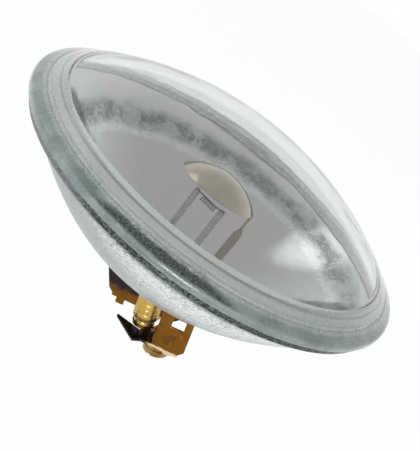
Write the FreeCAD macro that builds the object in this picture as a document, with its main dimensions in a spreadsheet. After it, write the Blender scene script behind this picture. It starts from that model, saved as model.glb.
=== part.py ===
"""Sealed-beam par spotlight bulb with a silvered glass bowl and two screw terminals.

Millimetres. +Z points out of the lens along the beam. The origin is the centre of the rim's
rear edge, where the lamp seats in its holder. The two terminals stand on the back of the bowl
and lean a little towards +X, so each of their pieces is modelled upright in a frame of its own
(x across the bracket, y away from the near side, z towards the bowl) and then leaned.
"""
import FreeCAD, Part
import math
import os

import Sketcher

# Driving sizes, in millimetres and degrees: alias, value, what it is.
SIZES = [
    # Lens
    ("rim_radius", 57.15, "outer radius of the rim, a 4.5 inch lamp"),
    ("rim_edge_height", 1.75, "height of the rim's plain edge"),
    ("shoulder_width", 3.25, "width of the sloped shoulder inside the rim"),
    ("shoulder_rise", 1.55, "rise of the shoulder"),
    ("step_width", 0.7, "width of the step inside the shoulder"),
    ("step_rise", 0.8, "rise of the step"),
    ("ledge_width", 2.8, "width of the ledge between the step and the dome"),
    ("ledge_rise", 1.6, "rise of the ledge"),
    ("dome_height", 12.95, "height of the domed front above its own edge"),
    ("lens_wall", 3.3, "glass thickness of the dome"),
    ("lens_bevel_width", 3.6, "width of the slope inside the lens flange"),
    ("lens_bevel_rise", 2.6, "rise of that slope"),
    # Reflector bowl
    ("bowl_inset", 1.15, "how far the bowl's edge lies inside the rim"),
    ("bowl_depth", 31.75, "depth of the bowl, outside"),
    ("bowl_wall", 3.0, "glass thickness at the middle of the bowl"),
    ("bowl_rim_width", 3.4, "width of the glass edge that is fused to the lens"),
    ("bowl_rim_depth", 2.2, "depth of the bowl's rim band"),
    ("bowl_power", 2.31, "shape of the bowl: depth goes with radius to this power"),
    ("boss_width", 1.0, "how far the glass boss shows round its ferrule"),
    ("boss_height", 0.55, "height of the boss's face behind the bowl"),
    ("seal_gap", 0.02, "film between glass or solder and the metal sealed in it"),
    # Lead posts, filament and shield
    ("lead_azimuth", -12.0, "direction of the near lead post about the beam, degrees"),
    ("lead_offset", 10.3, "distance of each lead post from the beam axis"),
    ("lead_radius", 1.0, "radius of a lead post"),
    ("lead_bend", 2.0, "bend radius of a lead post"),
    ("lead_rise", 6.75, "height of a lead post's inward run over the floor of the bowl"),
    ("lead_end_gap", 7.2, "distance between the two ends that hold the filament"),
    ("filament_z", 7.0, "distance of the filament behind the rim"),
    ("filament_leg", 1.0, "straight leg at each end of the filament's coil"),
    ("filament_radius", 0.75, "radius of the coil"),
    ("filament_wire", 0.18, "radius of the filament wire"),
    ("cap_edge_z", 2.0, "distance of the shield cap's edge behind the rim"),
    ("cap_height", 5.0, "height of the cap's dome"),
    ("shield_sheet", 0.5, "sheet thickness of the cap and its strap"),
    ("strap_width", 2.6, "width of the strap on the post"),
    ("strap_neck_width", 1.6, "width of the strap's neck at the cap"),
    ("strap_neck_length", 2.0, "length of the neck"),
    ("strap_hold", 2.5, "length of the strap that is fixed to the post"),
    # Ferrules and solder
    ("ferrule_radius", 4.2, "outer radius of a ferrule"),
    ("ferrule_height", 1.1, "height of a ferrule"),
    ("solder_width", 0.7, "width of the solder bead round a ferrule"),
    ("solder_height", 0.7, "height of the solder bead"),
    # Terminals
    ("lean", 16.5, "lean of both terminals towards +X, degrees"),
    ("near_right", 2.21, "near bracket's lower inner corner, +X of its post"),
    ("near_front", 8.22, "near bracket's near face, in front of its post"),
    ("near_drop", 13.6, "level of that corner under the ferrule"),
    ("far_right", 16.63, "far bracket's lower inner corner, +X of its post"),
    ("far_behind", 0.61, "far bracket's near face, behind its post"),
    ("far_drop", 13.1, "level of that corner under the ferrule"),
    ("sheet", 0.8, "sheet thickness of the brackets"),
    ("near_width", 9.6, "width of the near bracket's upright plate"),
    ("far_width", 14.8, "width of the far bracket's upright plate"),
    ("far_flare", 2.2, "how far the far plate widens towards the bowl"),
    ("far_flare_height", 8.2, "height at which it has widened"),
    ("corner_cut", 1.5, "cut-off outer corner of the plates"),
    ("window_from", 3.55, "inner side of the window in the near plate"),
    ("window_width", 3.9, "width of the window"),
    ("window_level", 7.85, "lower edge of the window"),
    ("window_height", 3.1, "height of the window"),
    ("web_margin", 4.3, "reach of the web behind the screw's axis"),
    ("web_flat", 3.2, "flat of the web past the upright plate"),
    ("trough_run", 2.5, "run of the web's lowered part"),
    ("trough_drop", 1.1, "drop of the lowered part"),
    ("ear_run", 6.4, "run of the upturned ear"),
    ("ear_rise", 4.3, "height of the ear's tip above the web"),
    ("ear_narrowing", 2.5, "how much narrower than the web the ear's root is"),
    ("ear_tip_depth", 0.7, "depth of the ear at its tip"),
    ("near_tab_gap", 2.6, "distance of the near wire-stop tab from the screw's axis"),
    ("far_tab_gap", 7.8, "distance of the far wire-stop tab from the screw's axis"),
    ("tab_width", 2.6, "width of a tab"),
    ("near_tab_length", 1.3, "length of the near tab past the plate's lower edge"),
    ("far_tab_length", 2.6, "length of the far tab past the plate's lower edge"),
    ("near_foot_inner", 3.9, "reach of the near foot past its post, towards the beam axis"),
    ("near_foot_outer", 4.7, "reach of the near foot past its post, outwards"),
    ("near_foot_back", 4.2, "reach of the near foot behind its post"),
    ("far_foot_inner", 4.6, "reach of the far foot past its post, towards the beam axis"),
    ("far_foot_outer", 4.2, "reach of the far foot past its post, outwards"),
    ("far_foot_front", 4.2, "reach of the far foot in front of its post"),
    # Terminal screws
    ("screw_across", 1.2, "distance of the screw's axis from the plate's inner edge"),
    ("washer_inset", 0.1, "how far the washer stays behind the plate's near face"),
    ("shank_radius", 1.95, "radius of the screw's shank"),
    ("shank_top", 4.6, "height of the shank's end above the web"),
    ("shank_chamfer", 0.4, "chamfer of the shank's end"),
    ("head_inset", 0.2, "how much smaller in radius the head is than the washer"),
    ("head_side", 1.9, "height of the head's side"),
    ("head_crown", 1.0, "height of the head's domed crown"),
    ("slot_width", 1.1, "width of the slot"),
    ("slot_depth", 1.4, "depth of the slot"),
    ("slot_angle", 70.0, "direction of the slot at rest, degrees"),
    ("washer_radius", 4.3, "outer radius of the clamp washer"),
    ("washer_height", 1.2, "height of the clamp washer"),
    ("washer_rim", 0.9, "width of the clamp washer's raised rim"),
    ("washer_dish", 0.3, "depth of the dish inside that rim"),
    ("seat_gap", 0.05, "gap between faces that press on each other when tight"),
    ("loose_clearance", 0.3, "radial clearance of the shank in web and washer"),
    ("thread_clearance", 0.05, "radial clearance of the shank in its nut"),
    ("nut_flats", 5.6, "width of the clinch nut across its flats"),
    ("nut_height", 2.8, "height of the clinch nut"),
    # Exhaust tube
    ("tube_clearance", 0.15, "gap between the tube's bulge and the nut"),
    ("tube_back", 5.0, "place of the tube behind the near bracket's face"),
    ("tube_radius", 2.3, "outer radius of the tube"),
    ("tube_wall", 0.8, "wall of the tube"),
    ("tube_end", 1.1, "level of the closed end above the near web"),
    ("tube_inside", 0.8, "how far the tube comes through the bowl"),
    ("bulge_radius", 3.0, "radius of the closed-off bulge"),
    ("bulge_height", 3.0, "height of the bulge"),
    ("bulge_chamfer", 0.9, "chamfer of the bulge"),
    ("sleeve_radius", 3.8, "radius of the sleeve round the tube"),
    ("sleeve_above", 0.7, "height of the sleeve above the screw's end"),
    ("sleeve_height", 7.8, "length of the sleeve"),
]


class Size:
    """A number together with the expression text that ties it to the sheet."""

    def __init__(self, number, text):
        self.number = number
        self.text = text

    def __add__(self, other):
        other = as_size(other)
        return Size(self.number + other.number, f"({self.text} + {other.text})")

    def __sub__(self, other):
        other = as_size(other)
        return Size(self.number - other.number, f"({self.text} - {other.text})")

    def __mul__(self, other):
        other = as_size(other)
        return Size(self.number * other.number, f"({self.text} * {other.text})")

    def __truediv__(self, other):
        other = as_size(other)
        return Size(self.number / other.number, f"({self.text} / {other.text})")

    def __neg__(self):
        return Size(-self.number, f"(0 - {self.text})")


def as_size(value):
    """Let plain counts stand in sums with sizes."""
    if isinstance(value, Size):
        return value
    return Size(value, str(value))


class Sizes:
    """Every driving size by its alias, read with a dot."""


doc = FreeCAD.newDocument("ParSpotlightBulb")
sheet = doc.addObject("Spreadsheet::Sheet", "Sizes")
S = Sizes()
for row, (alias, value, meaning) in enumerate(SIZES, start=1):
    sheet.set(f"A{row}", alias)
    sheet.set(f"B{row}", str(value))
    sheet.set(f"C{row}", meaning)
    sheet.setAlias(f"B{row}", alias)
    setattr(S, alias, Size(value, f"Sizes.{alias}"))
doc.recompute()

ZERO = Size(0.0, "0")
lean_sin = Size(math.sin(math.radians(S.lean.number)), "sin(Sizes.lean)")
lean_cos = Size(math.cos(math.radians(S.lean.number)), "cos(Sizes.lean)")


def tie(thing, prop, size):
    """Bind a property or constraint to its sizes."""
    thing.setExpression(prop, size.text)


def origin_plane(body, role):
    """One of the body's own origin planes."""
    return next(f for f in body.Origin.OriginFeatures if f.Role == role)


def new_body(name):
    body = doc.addObject("PartDesign::Body", name)
    body.Label = name
    return body


def new_sketch(body, name, role="XZ_Plane"):
    sketch = body.newObject("Sketcher::SketchObject", name)
    sketch.AttachmentSupport = (origin_plane(body, role), [""])
    sketch.MapMode = "FlatFace"
    return sketch


def hold_point(sketch, edge, end, point):
    """Fix one end of an edge at (across, up), each tied to the sheet."""
    for kind, size in (("DistanceX", point[0]), ("DistanceY", point[1])):
        index = sketch.addConstraint(Sketcher.Constraint(kind, -1, 1, edge, end, size.number))
        tie(sketch, f"Constraints[{index}]", size)


def outline(sketch, corners, arcs=()):
    """Closed outline through the corners; the edges in arcs are centred on the upright axis."""
    places = [FreeCAD.Vector(x.number, y.number, 0) for x, y in corners]
    firsts = []
    for index, start in enumerate(places):
        end = places[(index + 1) % len(places)]
        if index not in arcs:
            firsts.append((sketch.addGeometry(Part.LineSegment(start, end)), 1, 2))
            continue
        middle = (start.x**2 - end.x**2 + start.y**2 - end.y**2) / (2 * (start.y - end.y))
        centre = FreeCAD.Vector(0, middle, 0)
        circle = Part.Circle(centre, FreeCAD.Vector(0, 0, 1), start.distanceToPoint(centre))
        turns = [math.atan2(p.y - middle, p.x) for p in (start, end)]
        forward = turns[0] < turns[1]
        arc = Part.ArcOfCircle(circle, min(turns), max(turns))
        edge = sketch.addGeometry(arc)
        sketch.addConstraint(Sketcher.Constraint("PointOnObject", edge, 3, -2))
        firsts.append((edge, 1, 2) if forward else (edge, 2, 1))
    for index, (edge, first, last) in enumerate(firsts):
        following = firsts[(index + 1) % len(firsts)]
        sketch.addConstraint(Sketcher.Constraint("Coincident", edge, last, following[0], following[1]))
        hold_point(sketch, edge, first, corners[index])


def ring(sketch, across, up, radius):
    """A full circle with its centre and radius tied to the sheet."""
    centre = FreeCAD.Vector(across.number, up.number, 0)
    edge = sketch.addGeometry(Part.Circle(centre, FreeCAD.Vector(0, 0, 1), radius.number))
    hold_point(sketch, edge, 3, (across, up))
    index = sketch.addConstraint(Sketcher.Constraint("Radius", edge, radius.number))
    tie(sketch, f"Constraints[{index}]", radius)


def pad(body, sketch, name, length, reverse=False):
    feature = body.newObject("PartDesign::Pad", name)
    feature.Profile = sketch
    feature.Reversed = reverse
    tie(feature, "Length", length)
    return feature


def pocket(body, sketch, name, depth, reverse=False):
    """Cut down from the sketch, or up from it when reversed."""
    feature = body.newObject("PartDesign::Pocket", name)
    feature.Profile = sketch
    feature.Reversed = reverse
    tie(feature, "Length", depth)
    return feature


def revolve(body, sketch, name):
    feature = body.newObject("PartDesign::Revolution", name)
    feature.Profile = sketch
    feature.ReferenceAxis = (sketch, ["V_Axis"])
    feature.Angle = 360
    return feature


def turned(name, corners, arcs=()):
    """A piece turned about its own upright axis."""
    body = new_body(name)
    sketch = new_sketch(body, f"{name}_section")
    outline(sketch, corners, arcs)
    revolve(body, sketch, f"{name}_turned")
    return body


def place(thing, x, y, z, axis=(0, 0, 1), angle=ZERO):
    """Placement of a sub-part, tied to the sheet."""
    turn = FreeCAD.Rotation(FreeCAD.Vector(*axis), angle.number)
    thing.Placement = FreeCAD.Placement(FreeCAD.Vector(x.number, y.number, z.number), turn)
    for prop, size in (("Base.x", x), ("Base.y", y), ("Base.z", z), ("Rotation.Angle", angle)):
        tie(thing, f"Placement.{prop}", size)


def lean_point(origin, across, back, up):
    """Lamp coordinates of a point given in a leaned terminal frame."""
    x = origin[0] + across * lean_cos - up * lean_sin
    z = origin[2] + across * lean_sin + up * lean_cos
    return x, origin[1] + back, z


def lean_place(thing, origin, across, back, up=ZERO):
    """Stand a piece in a terminal frame."""
    x, y, z = lean_point(origin, across, back, up)
    place(thing, x, y, z, (0, -1, 0), S.lean)


def lead_point(turn):
    """Lamp x and y of a lead post."""
    angle = S.lead_azimuth + turn
    x = S.lead_offset * Size(math.cos(math.radians(angle.number)), f"cos{angle.text}")
    y = S.lead_offset * Size(math.sin(math.radians(angle.number)), f"sin{angle.text}")
    return x, y


# Places that several pieces share
bowl_radius = S.rim_radius - S.bowl_inset
boss_face_z = -(S.bowl_depth + S.boss_height)
foot_face_z = boss_face_z - S.ferrule_height
lead_level_z = S.bowl_wall + S.lead_rise - S.bowl_depth
near_post = lead_point(0)
far_post = lead_point(180)
near_origin = (near_post[0] + S.near_right, near_post[1] - S.near_front, foot_face_z - S.near_drop)
far_origin = (far_post[0] + S.far_right, far_post[1] + S.far_behind, foot_face_z - S.far_drop)
screw_back = S.washer_radius + S.washer_inset
web_depth = screw_back + S.web_margin
trough_reach = S.web_flat + S.trough_run
ear_reach = trough_reach + S.ear_run
nut_point = S.nut_flats / Size(math.sqrt(3), "sqrt(3)")
tube_across = S.screw_across - nut_point - S.bulge_radius - S.tube_clearance
tube_origin = lean_point(near_origin, tube_across, S.tube_back, S.tube_end)
tube_length = (-(S.bowl_depth - S.bowl_wall) - tube_origin[2]) / lean_cos + S.tube_inside
parts = []


def make_lens():
    """Clear pressed front: plain rim edge, shoulder, step, ledge and a dome."""
    shoulder_radius = S.rim_radius - S.shoulder_width
    shoulder_z = S.rim_edge_height + S.shoulder_rise
    step_radius = shoulder_radius - S.step_width
    step_z = shoulder_z + S.step_rise
    dome_radius = step_radius - S.ledge_width
    dome_z = step_z + S.ledge_rise
    apex_z = dome_z + S.dome_height
    seam_radius = bowl_radius - S.bowl_rim_width
    corners = [
        (ZERO, apex_z),
        (dome_radius, dome_z),
        (step_radius, step_z),
        (shoulder_radius, shoulder_z),
        (S.rim_radius, S.rim_edge_height),
        (S.rim_radius, ZERO),
        (seam_radius, ZERO),
        (seam_radius - S.lens_bevel_width, S.lens_bevel_rise),
        (ZERO, apex_z - S.lens_wall),
    ]
    parts.append(turned("lens", corners, arcs=(0, 7)))


def bowl_curve(radius, bottom, power, span):
    """Spline of one face of the bowl, from its middle out to the given span of radii."""
    steps = 8
    points = []
    for step in range(steps + 1):
        r = span * step / steps
        points.append(FreeCAD.Vector(r, 0, -bottom * (1 - (r / radius) ** power)))
    curve = Part.BSplineCurve()
    curve.interpolate(Points=points, InitialTangent=FreeCAD.Vector(1, 0, 0),
                      FinalTangent=points[-1] - points[-2])
    return curve.toShape(), points[0], points[-1]


def rod(start, end, radius):
    """Solid round bar between two points."""
    way = end - start
    return Part.makeCylinder(radius, way.Length, start, way)


def make_bowl():
    """Pressed reflector bowl: a power-law curve, a rim band, two bosses and the sealed holes."""
    radius = bowl_radius.number
    depth = S.bowl_depth.number
    power = S.bowl_power.number
    rim_depth = S.bowl_rim_depth.number
    inner_radius = radius - S.bowl_rim_width.number
    outer_span = radius * (1 - rim_depth / depth) ** (1 / power)
    outer, outer_middle, outer_end = bowl_curve(radius, depth, power, outer_span)
    inner, inner_middle, inner_end = bowl_curve(
        inner_radius, depth - S.bowl_wall.number, power, inner_radius)
    rim = [outer_end, FreeCAD.Vector(radius, 0, -rim_depth), FreeCAD.Vector(radius, 0, 0), inner_end]
    edges = [outer]
    edges += [Part.LineSegment(a, b).toShape() for a, b in zip(rim, rim[1:])]
    edges += [inner, Part.LineSegment(inner_middle, outer_middle).toShape()]
    section = Part.Face(Part.Wire(Part.__sortEdges__(edges)))
    shell = section.revolve(FreeCAD.Vector(), FreeCAD.Vector(0, 0, 1), 360)

    face = boss_face_z.number
    glass_middle = -(depth - S.bowl_wall.number * 0.9)
    boss_radius = S.ferrule_radius.number + S.boss_width.number
    seal = S.seal_gap.number
    for post in (near_post, far_post):
        x, y = post[0].number, post[1].number
        boss = rod(FreeCAD.Vector(x, y, face), FreeCAD.Vector(x, y, glass_middle), boss_radius)
        hole = rod(FreeCAD.Vector(x, y, face - 1), FreeCAD.Vector(x, y, 0), S.lead_radius.number + seal)
        shell = shell.fuse(boss).cut(hole)
    tube_foot = FreeCAD.Vector(*(size.number for size in tube_origin))
    tube_way = FreeCAD.Vector(-lean_sin.number, 0, lean_cos.number)
    tube_hole = rod(tube_foot, tube_foot + tube_way * depth, S.tube_radius.number + seal)
    bowl = doc.addObject("Part::Feature", "reflector_bowl")
    bowl.Shape = shell.cut(tube_hole).removeSplitter()
    bowl.Placement = FreeCAD.Placement()
    parts.append(bowl)


def make_exhaust_tube():
    """Metal pumping tube: closed bulge at its end, then a sleeve, then through the bowl."""
    bore = S.tube_radius - S.tube_wall
    sleeve_foot = S.shank_top + S.sleeve_above - S.tube_end
    sleeve_top = sleeve_foot + S.sleeve_height
    corners = [
        (ZERO, ZERO),
        (S.bulge_radius - S.bulge_chamfer, ZERO),
        (S.bulge_radius, S.bulge_chamfer),
        (S.bulge_radius, S.bulge_height - S.bulge_chamfer),
        (S.tube_radius, S.bulge_height),
        (S.tube_radius, sleeve_foot),
        (S.sleeve_radius, sleeve_foot),
        (S.sleeve_radius, sleeve_top),
        (S.tube_radius, sleeve_top),
        (S.tube_radius, tube_length),
        (bore, tube_length),
        (bore, S.bulge_height),
        (ZERO, S.bulge_height),
    ]
    tube = turned("exhaust_tube", corners)
    lean_place(tube, near_origin, tube_across, S.tube_back, S.tube_end)
    parts.append(tube)


def make_lead_post(name, turn):
    """Stout lead wire: up from the ferrule, in towards the axis, and up to the filament's end."""
    body = new_body(name)
    foot_z = foot_face_z + S.seal_gap
    level_z = lead_level_z
    riser_x = S.lead_end_gap / 2 + S.lead_radius
    top_z = S.lead_radius - S.filament_z
    bend = S.lead_bend.number
    corner = math.sqrt(0.5) * bend
    out_x, in_x, low_z = (size.number for size in (S.lead_offset, riser_x, level_z))

    route = new_sketch(body, f"{name}_route")
    foot = FreeCAD.Vector(out_x, foot_z.number, 0)
    knee = FreeCAD.Vector(out_x, low_z - bend, 0)
    knee_middle = FreeCAD.Vector(out_x - bend + corner, low_z - bend + corner, 0)
    run_start = FreeCAD.Vector(out_x - bend, low_z, 0)
    run_end = FreeCAD.Vector(in_x + bend, low_z, 0)
    rise_middle = FreeCAD.Vector(in_x + bend - corner, low_z + bend - corner, 0)
    rise = FreeCAD.Vector(in_x, low_z + bend, 0)
    top = FreeCAD.Vector(in_x, top_z.number, 0)
    upright = route.addGeometry(Part.LineSegment(foot, knee))
    lower_bend = route.addGeometry(Part.Arc(knee, knee_middle, run_start))
    run = route.addGeometry(Part.LineSegment(run_start, run_end))
    upper_bend = route.addGeometry(Part.Arc(rise, rise_middle, run_end))
    riser = route.addGeometry(Part.LineSegment(rise, top))
    for first, first_end, second, second_end in (
        (upright, 2, lower_bend, 1), (lower_bend, 2, run, 1), (run, 2, upper_bend, 2),
        (upper_bend, 1, riser, 1),
    ):
        route.addConstraint(Sketcher.Constraint("Tangent", first, first_end, second, second_end))
    route.addConstraint(Sketcher.Constraint("Vertical", upright))
    route.addConstraint(Sketcher.Constraint("Horizontal", run))
    route.addConstraint(Sketcher.Constraint("Vertical", riser))
    hold_point(route, upright, 1, (S.lead_offset, foot_z))
    hold_point(route, riser, 2, (riser_x, top_z))
    index = route.addConstraint(Sketcher.Constraint("DistanceY", -1, 1, run, 1, level_z.number))
    tie(route, f"Constraints[{index}]", level_z)
    for arc in (lower_bend, upper_bend):
        index = route.addConstraint(Sketcher.Constraint("Radius", arc, bend))
        tie(route, f"Constraints[{index}]", S.lead_bend)

    section = new_sketch(body, f"{name}_section", "XY_Plane")
    tie(section, "AttachmentOffset.Base.z", foot_z)
    ring(section, S.lead_offset, ZERO, S.lead_radius)
    pipe = body.newObject("PartDesign::AdditivePipe", f"{name}_pipe")
    pipe.Profile = section
    pipe.Spine = (route, [f"Edge{number}" for number in range(1, 6)])
    place(body, ZERO, ZERO, ZERO, (0, 0, 1), S.lead_azimuth + turn)
    parts.append(body)


def make_filament():
    """Filament between the two posts: the tube that its coil fills, and a leg at each end."""
    body = new_body("filament")
    coil = new_sketch(body, "filament_coil", "YZ_Plane")
    ring(coil, ZERO, ZERO, S.filament_radius + S.filament_wire)
    ring(coil, ZERO, ZERO, S.filament_radius - S.filament_wire)
    coil_pad = pad(body, coil, "filament_coil_pad", S.lead_end_gap - S.filament_leg * 2)
    coil_pad.Midplane = True
    leg = new_sketch(body, "filament_legs", "YZ_Plane")
    ring(leg, ZERO, S.filament_radius, S.filament_wire)
    leg_pad = pad(body, leg, "filament_legs_pad", S.lead_end_gap)
    leg_pad.Midplane = True
    place(body, ZERO, ZERO, -S.filament_z, (0, 0, 1), S.lead_azimuth)
    parts.append(body)


def make_shield():
    """Domed cap over the filament and the strap that holds it on the near post."""
    edge_z = -S.cap_edge_z
    crown_z = edge_z + S.cap_height
    post_side = S.lead_offset + S.lead_radius
    corners = [
        (ZERO, crown_z),
        (post_side + S.shield_sheet, edge_z),
        (post_side, edge_z),
        (ZERO, crown_z - S.shield_sheet),
    ]
    parts.append(turned("shield_cap", corners, arcs=(0, 2)))

    body = new_body("shield_strap")
    sketch = new_sketch(body, "strap_shape", "YZ_Plane")
    tie(sketch, "AttachmentOffset.Base.z", post_side)
    neck = S.strap_neck_width / 2
    half = S.strap_width / 2
    neck_z = edge_z - S.strap_neck_length
    shoulder_z = neck_z - (half - neck)
    foot_z = lead_level_z - S.lead_bend - S.strap_hold
    outline(sketch, [
        (neck, edge_z), (neck, neck_z), (half, shoulder_z), (half, foot_z),
        (-half, foot_z), (-half, shoulder_z), (-neck, neck_z), (-neck, edge_z),
    ])
    pad(body, sketch, "strap_sheet", S.shield_sheet)
    place(body, ZERO, ZERO, ZERO, (0, 0, 1), S.lead_azimuth)
    parts.append(body)


def at_lead(thing, turn):
    """Turn a piece made at the +X lead post round to the wanted post."""
    place(thing, ZERO, ZERO, ZERO, (0, 0, 1), S.lead_azimuth + turn)
    parts.append(thing)


def make_ferrule(side, turn):
    """Flat metal ferrule sealed on its glass boss, with the lead post through it."""
    body = new_body(f"ferrule_{side}")
    sketch = new_sketch(body, f"ferrule_{side}_face", "XY_Plane")
    tie(sketch, "AttachmentOffset.Base.z", foot_face_z)
    ring(sketch, S.lead_offset, ZERO, S.ferrule_radius)
    ring(sketch, S.lead_offset, ZERO, S.lead_radius + S.seal_gap)
    pad(body, sketch, f"ferrule_{side}_disc", S.ferrule_height)
    at_lead(body, turn)


def make_solder(side, post):
    """Solder bead in the corner between a ferrule's side and the bracket's foot."""
    inner = S.ferrule_radius + S.seal_gap
    solder = turned(f"solder_{side}", [
        (inner, foot_face_z),
        (inner + S.solder_width, foot_face_z),
        (inner, foot_face_z + S.solder_height),
    ])
    place(solder, post[0], post[1], ZERO)
    parts.append(solder)


def plate_height(origin, across):
    """Height of the ferrule's face in a terminal frame, at a place across it."""
    return (foot_face_z - origin[2] - across * lean_sin) / lean_cos


def level_sketch(body, name, up):
    """Sketch parallel to the lamp's rim in a leaned body; its axes point along the lamp's x and y."""
    sketch = new_sketch(body, name, "XY_Plane")
    turn = FreeCAD.Rotation(FreeCAD.Vector(0, 1, 0), S.lean.number)
    sketch.AttachmentOffset = FreeCAD.Placement(FreeCAD.Vector(), turn)
    tie(sketch, "AttachmentOffset.Rotation.Angle", S.lean)
    tie(sketch, "AttachmentOffset.Base.x", up * lean_sin)
    tie(sketch, "AttachmentOffset.Base.z", up * lean_cos)
    return sketch


def make_bracket(side, origin, way, width, upper_edge, window, tab, foot):
    """Folded brass bracket; way is 1 where its plate runs towards +x and -1 where it runs back.

    The upright plate carries the foot that sits on the ferrule. The web at its lower edge takes
    the screw and runs on into a lowered trough and an upturned pointed ear. A small tab beside
    the screw stops the wire.
    """
    name = f"bracket_{side}"
    body = new_body(name)

    plate = new_sketch(body, f"{name}_plate")
    corners = [(ZERO, ZERO), ((width - S.corner_cut) * way, ZERO), (width * way, S.corner_cut)]
    corners += [(across * way, up) for across, up in upper_edge]
    corners.append((ZERO, plate_height(origin, ZERO)))
    outline(plate, corners)
    if window:
        left, low, right, high = window
        outline(plate, [(left, low), (right, low), (right, high), (left, high)])
    pad(body, plate, f"{name}_plate_pad", S.sheet, reverse=True)

    web = new_sketch(body, f"{name}_web")
    web_edge = (width - S.corner_cut) * way
    outline(web, [
        (web_edge, ZERO),
        (web_edge, -S.sheet),
        (-S.web_flat * way, -S.sheet),
        (-trough_reach * way, -S.sheet - S.trough_drop),
        (-ear_reach * way, S.ear_rise - S.sheet),
        (-ear_reach * way, S.ear_rise),
        (-trough_reach * way, -S.trough_drop),
        (-S.web_flat * way, ZERO),
    ])
    pad(body, web, f"{name}_web_pad", web_depth, reverse=True)

    tab_gap, tab_length = tab
    stop = new_sketch(body, f"{name}_tab")
    tab_inner = (S.screw_across + tab_gap) * way
    tab_outer = (S.screw_across + tab_gap + S.tab_width) * way
    outline(stop, [
        (tab_outer, ZERO), (tab_outer, -tab_length), (tab_inner, -tab_length), (tab_inner, ZERO),
    ])
    pad(body, stop, f"{name}_tab_pad", S.sheet, reverse=True)

    slab = level_sketch(body, f"{name}_foot", foot_face_z - S.sheet - origin[2])
    left, right, front, back = foot
    outline(slab, [(left, front), (right, front), (right, back), (left, back)])
    pad(body, slab, f"{name}_foot_pad", S.sheet)

    ear = new_sketch(body, f"{name}_ear", "XY_Plane")
    tie(ear, "AttachmentOffset.Base.z", S.ear_rise + S.sheet)
    past_tip = (ear_reach + S.sheet) * way
    past_web = web_depth + S.sheet
    outline(ear, [
        (-S.web_flat * way, web_depth),
        (-trough_reach * way, web_depth - S.ear_narrowing),
        (-ear_reach * way, S.ear_tip_depth),
        (-past_tip, S.ear_tip_depth),
        (-past_tip, past_web),
        (-S.web_flat * way, past_web),
    ])
    pocket(body, ear, f"{name}_ear_point", S.ear_rise + S.trough_drop + S.sheet * 3)

    hole = new_sketch(body, f"{name}_screw_hole", "XY_Plane")
    ring(hole, S.screw_across * way, screw_back, S.shank_radius + S.loose_clearance)
    body.Tip = pocket(body, hole, f"{name}_screw_hole_cut", S.sheet)
    lean_place(body, origin, ZERO, ZERO)
    parts.append(body)


def make_fasteners(side, origin, way):
    """Clinch nut on the web, clamp washer under it and the slotted screw through both."""
    across = S.screw_across * way

    nut = new_body(f"nut_{side}")
    face = new_sketch(nut, f"nut_{side}_face", "XY_Plane")
    half = S.nut_flats / 2
    side_point = nut_point / 2
    outline(face, [
        (nut_point, ZERO), (side_point, half), (-side_point, half),
        (-nut_point, ZERO), (-side_point, -half), (side_point, -half),
    ])
    ring(face, ZERO, ZERO, S.shank_radius + S.thread_clearance)
    pad(nut, face, f"nut_{side}_block", S.nut_height)
    lean_place(nut, origin, across, screw_back)
    parts.append(nut)

    bore = S.shank_radius + S.loose_clearance
    washer_top = -S.sheet - S.seat_gap
    washer = turned(f"washer_{side}", [
        (bore, -S.washer_dish),
        (S.washer_radius - S.washer_rim, -S.washer_dish),
        (S.washer_radius - S.washer_rim + S.washer_dish, ZERO),
        (S.washer_radius, ZERO),
        (S.washer_radius, -S.washer_height + S.washer_dish),
        (S.washer_radius - S.washer_dish, -S.washer_height),
        (bore, -S.washer_height),
    ])
    lean_place(washer, origin, across, screw_back, washer_top)
    parts.append(washer)

    screw = new_body(f"screw_{side}")
    head_top = washer_top - S.washer_height - S.seat_gap
    end = S.shank_top - head_top
    head_radius = S.washer_radius - S.head_inset
    head_bottom = -S.head_side - S.head_crown
    section = new_sketch(screw, f"screw_{side}_section")
    outline(section, [
        (ZERO, end),
        (S.shank_radius - S.shank_chamfer, end),
        (S.shank_radius, end - S.shank_chamfer),
        (S.shank_radius, ZERO),
        (head_radius, ZERO),
        (head_radius, -S.head_side),
        (ZERO, head_bottom),
    ], arcs=(5,))
    revolve(screw, section, f"screw_{side}_turned")
    slot = new_sketch(screw, f"screw_{side}_slot", "XY_Plane")
    turn = FreeCAD.Rotation(FreeCAD.Vector(0, 0, 1), S.slot_angle.number)
    slot.AttachmentOffset = FreeCAD.Placement(FreeCAD.Vector(), turn)
    tie(slot, "AttachmentOffset.Base.z", head_bottom)
    tie(slot, "AttachmentOffset.Rotation.Angle", S.slot_angle)
    reach = head_radius + S.slot_width
    side_way = S.slot_width / 2
    outline(slot, [(reach, -side_way), (reach, side_way), (-reach, side_way), (-reach, -side_way)])
    pocket(screw, slot, f"screw_{side}_slot_cut", S.slot_depth, reverse=True)
    lean_place(screw, origin, across, screw_back, head_top)
    parts.append(screw)


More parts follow.
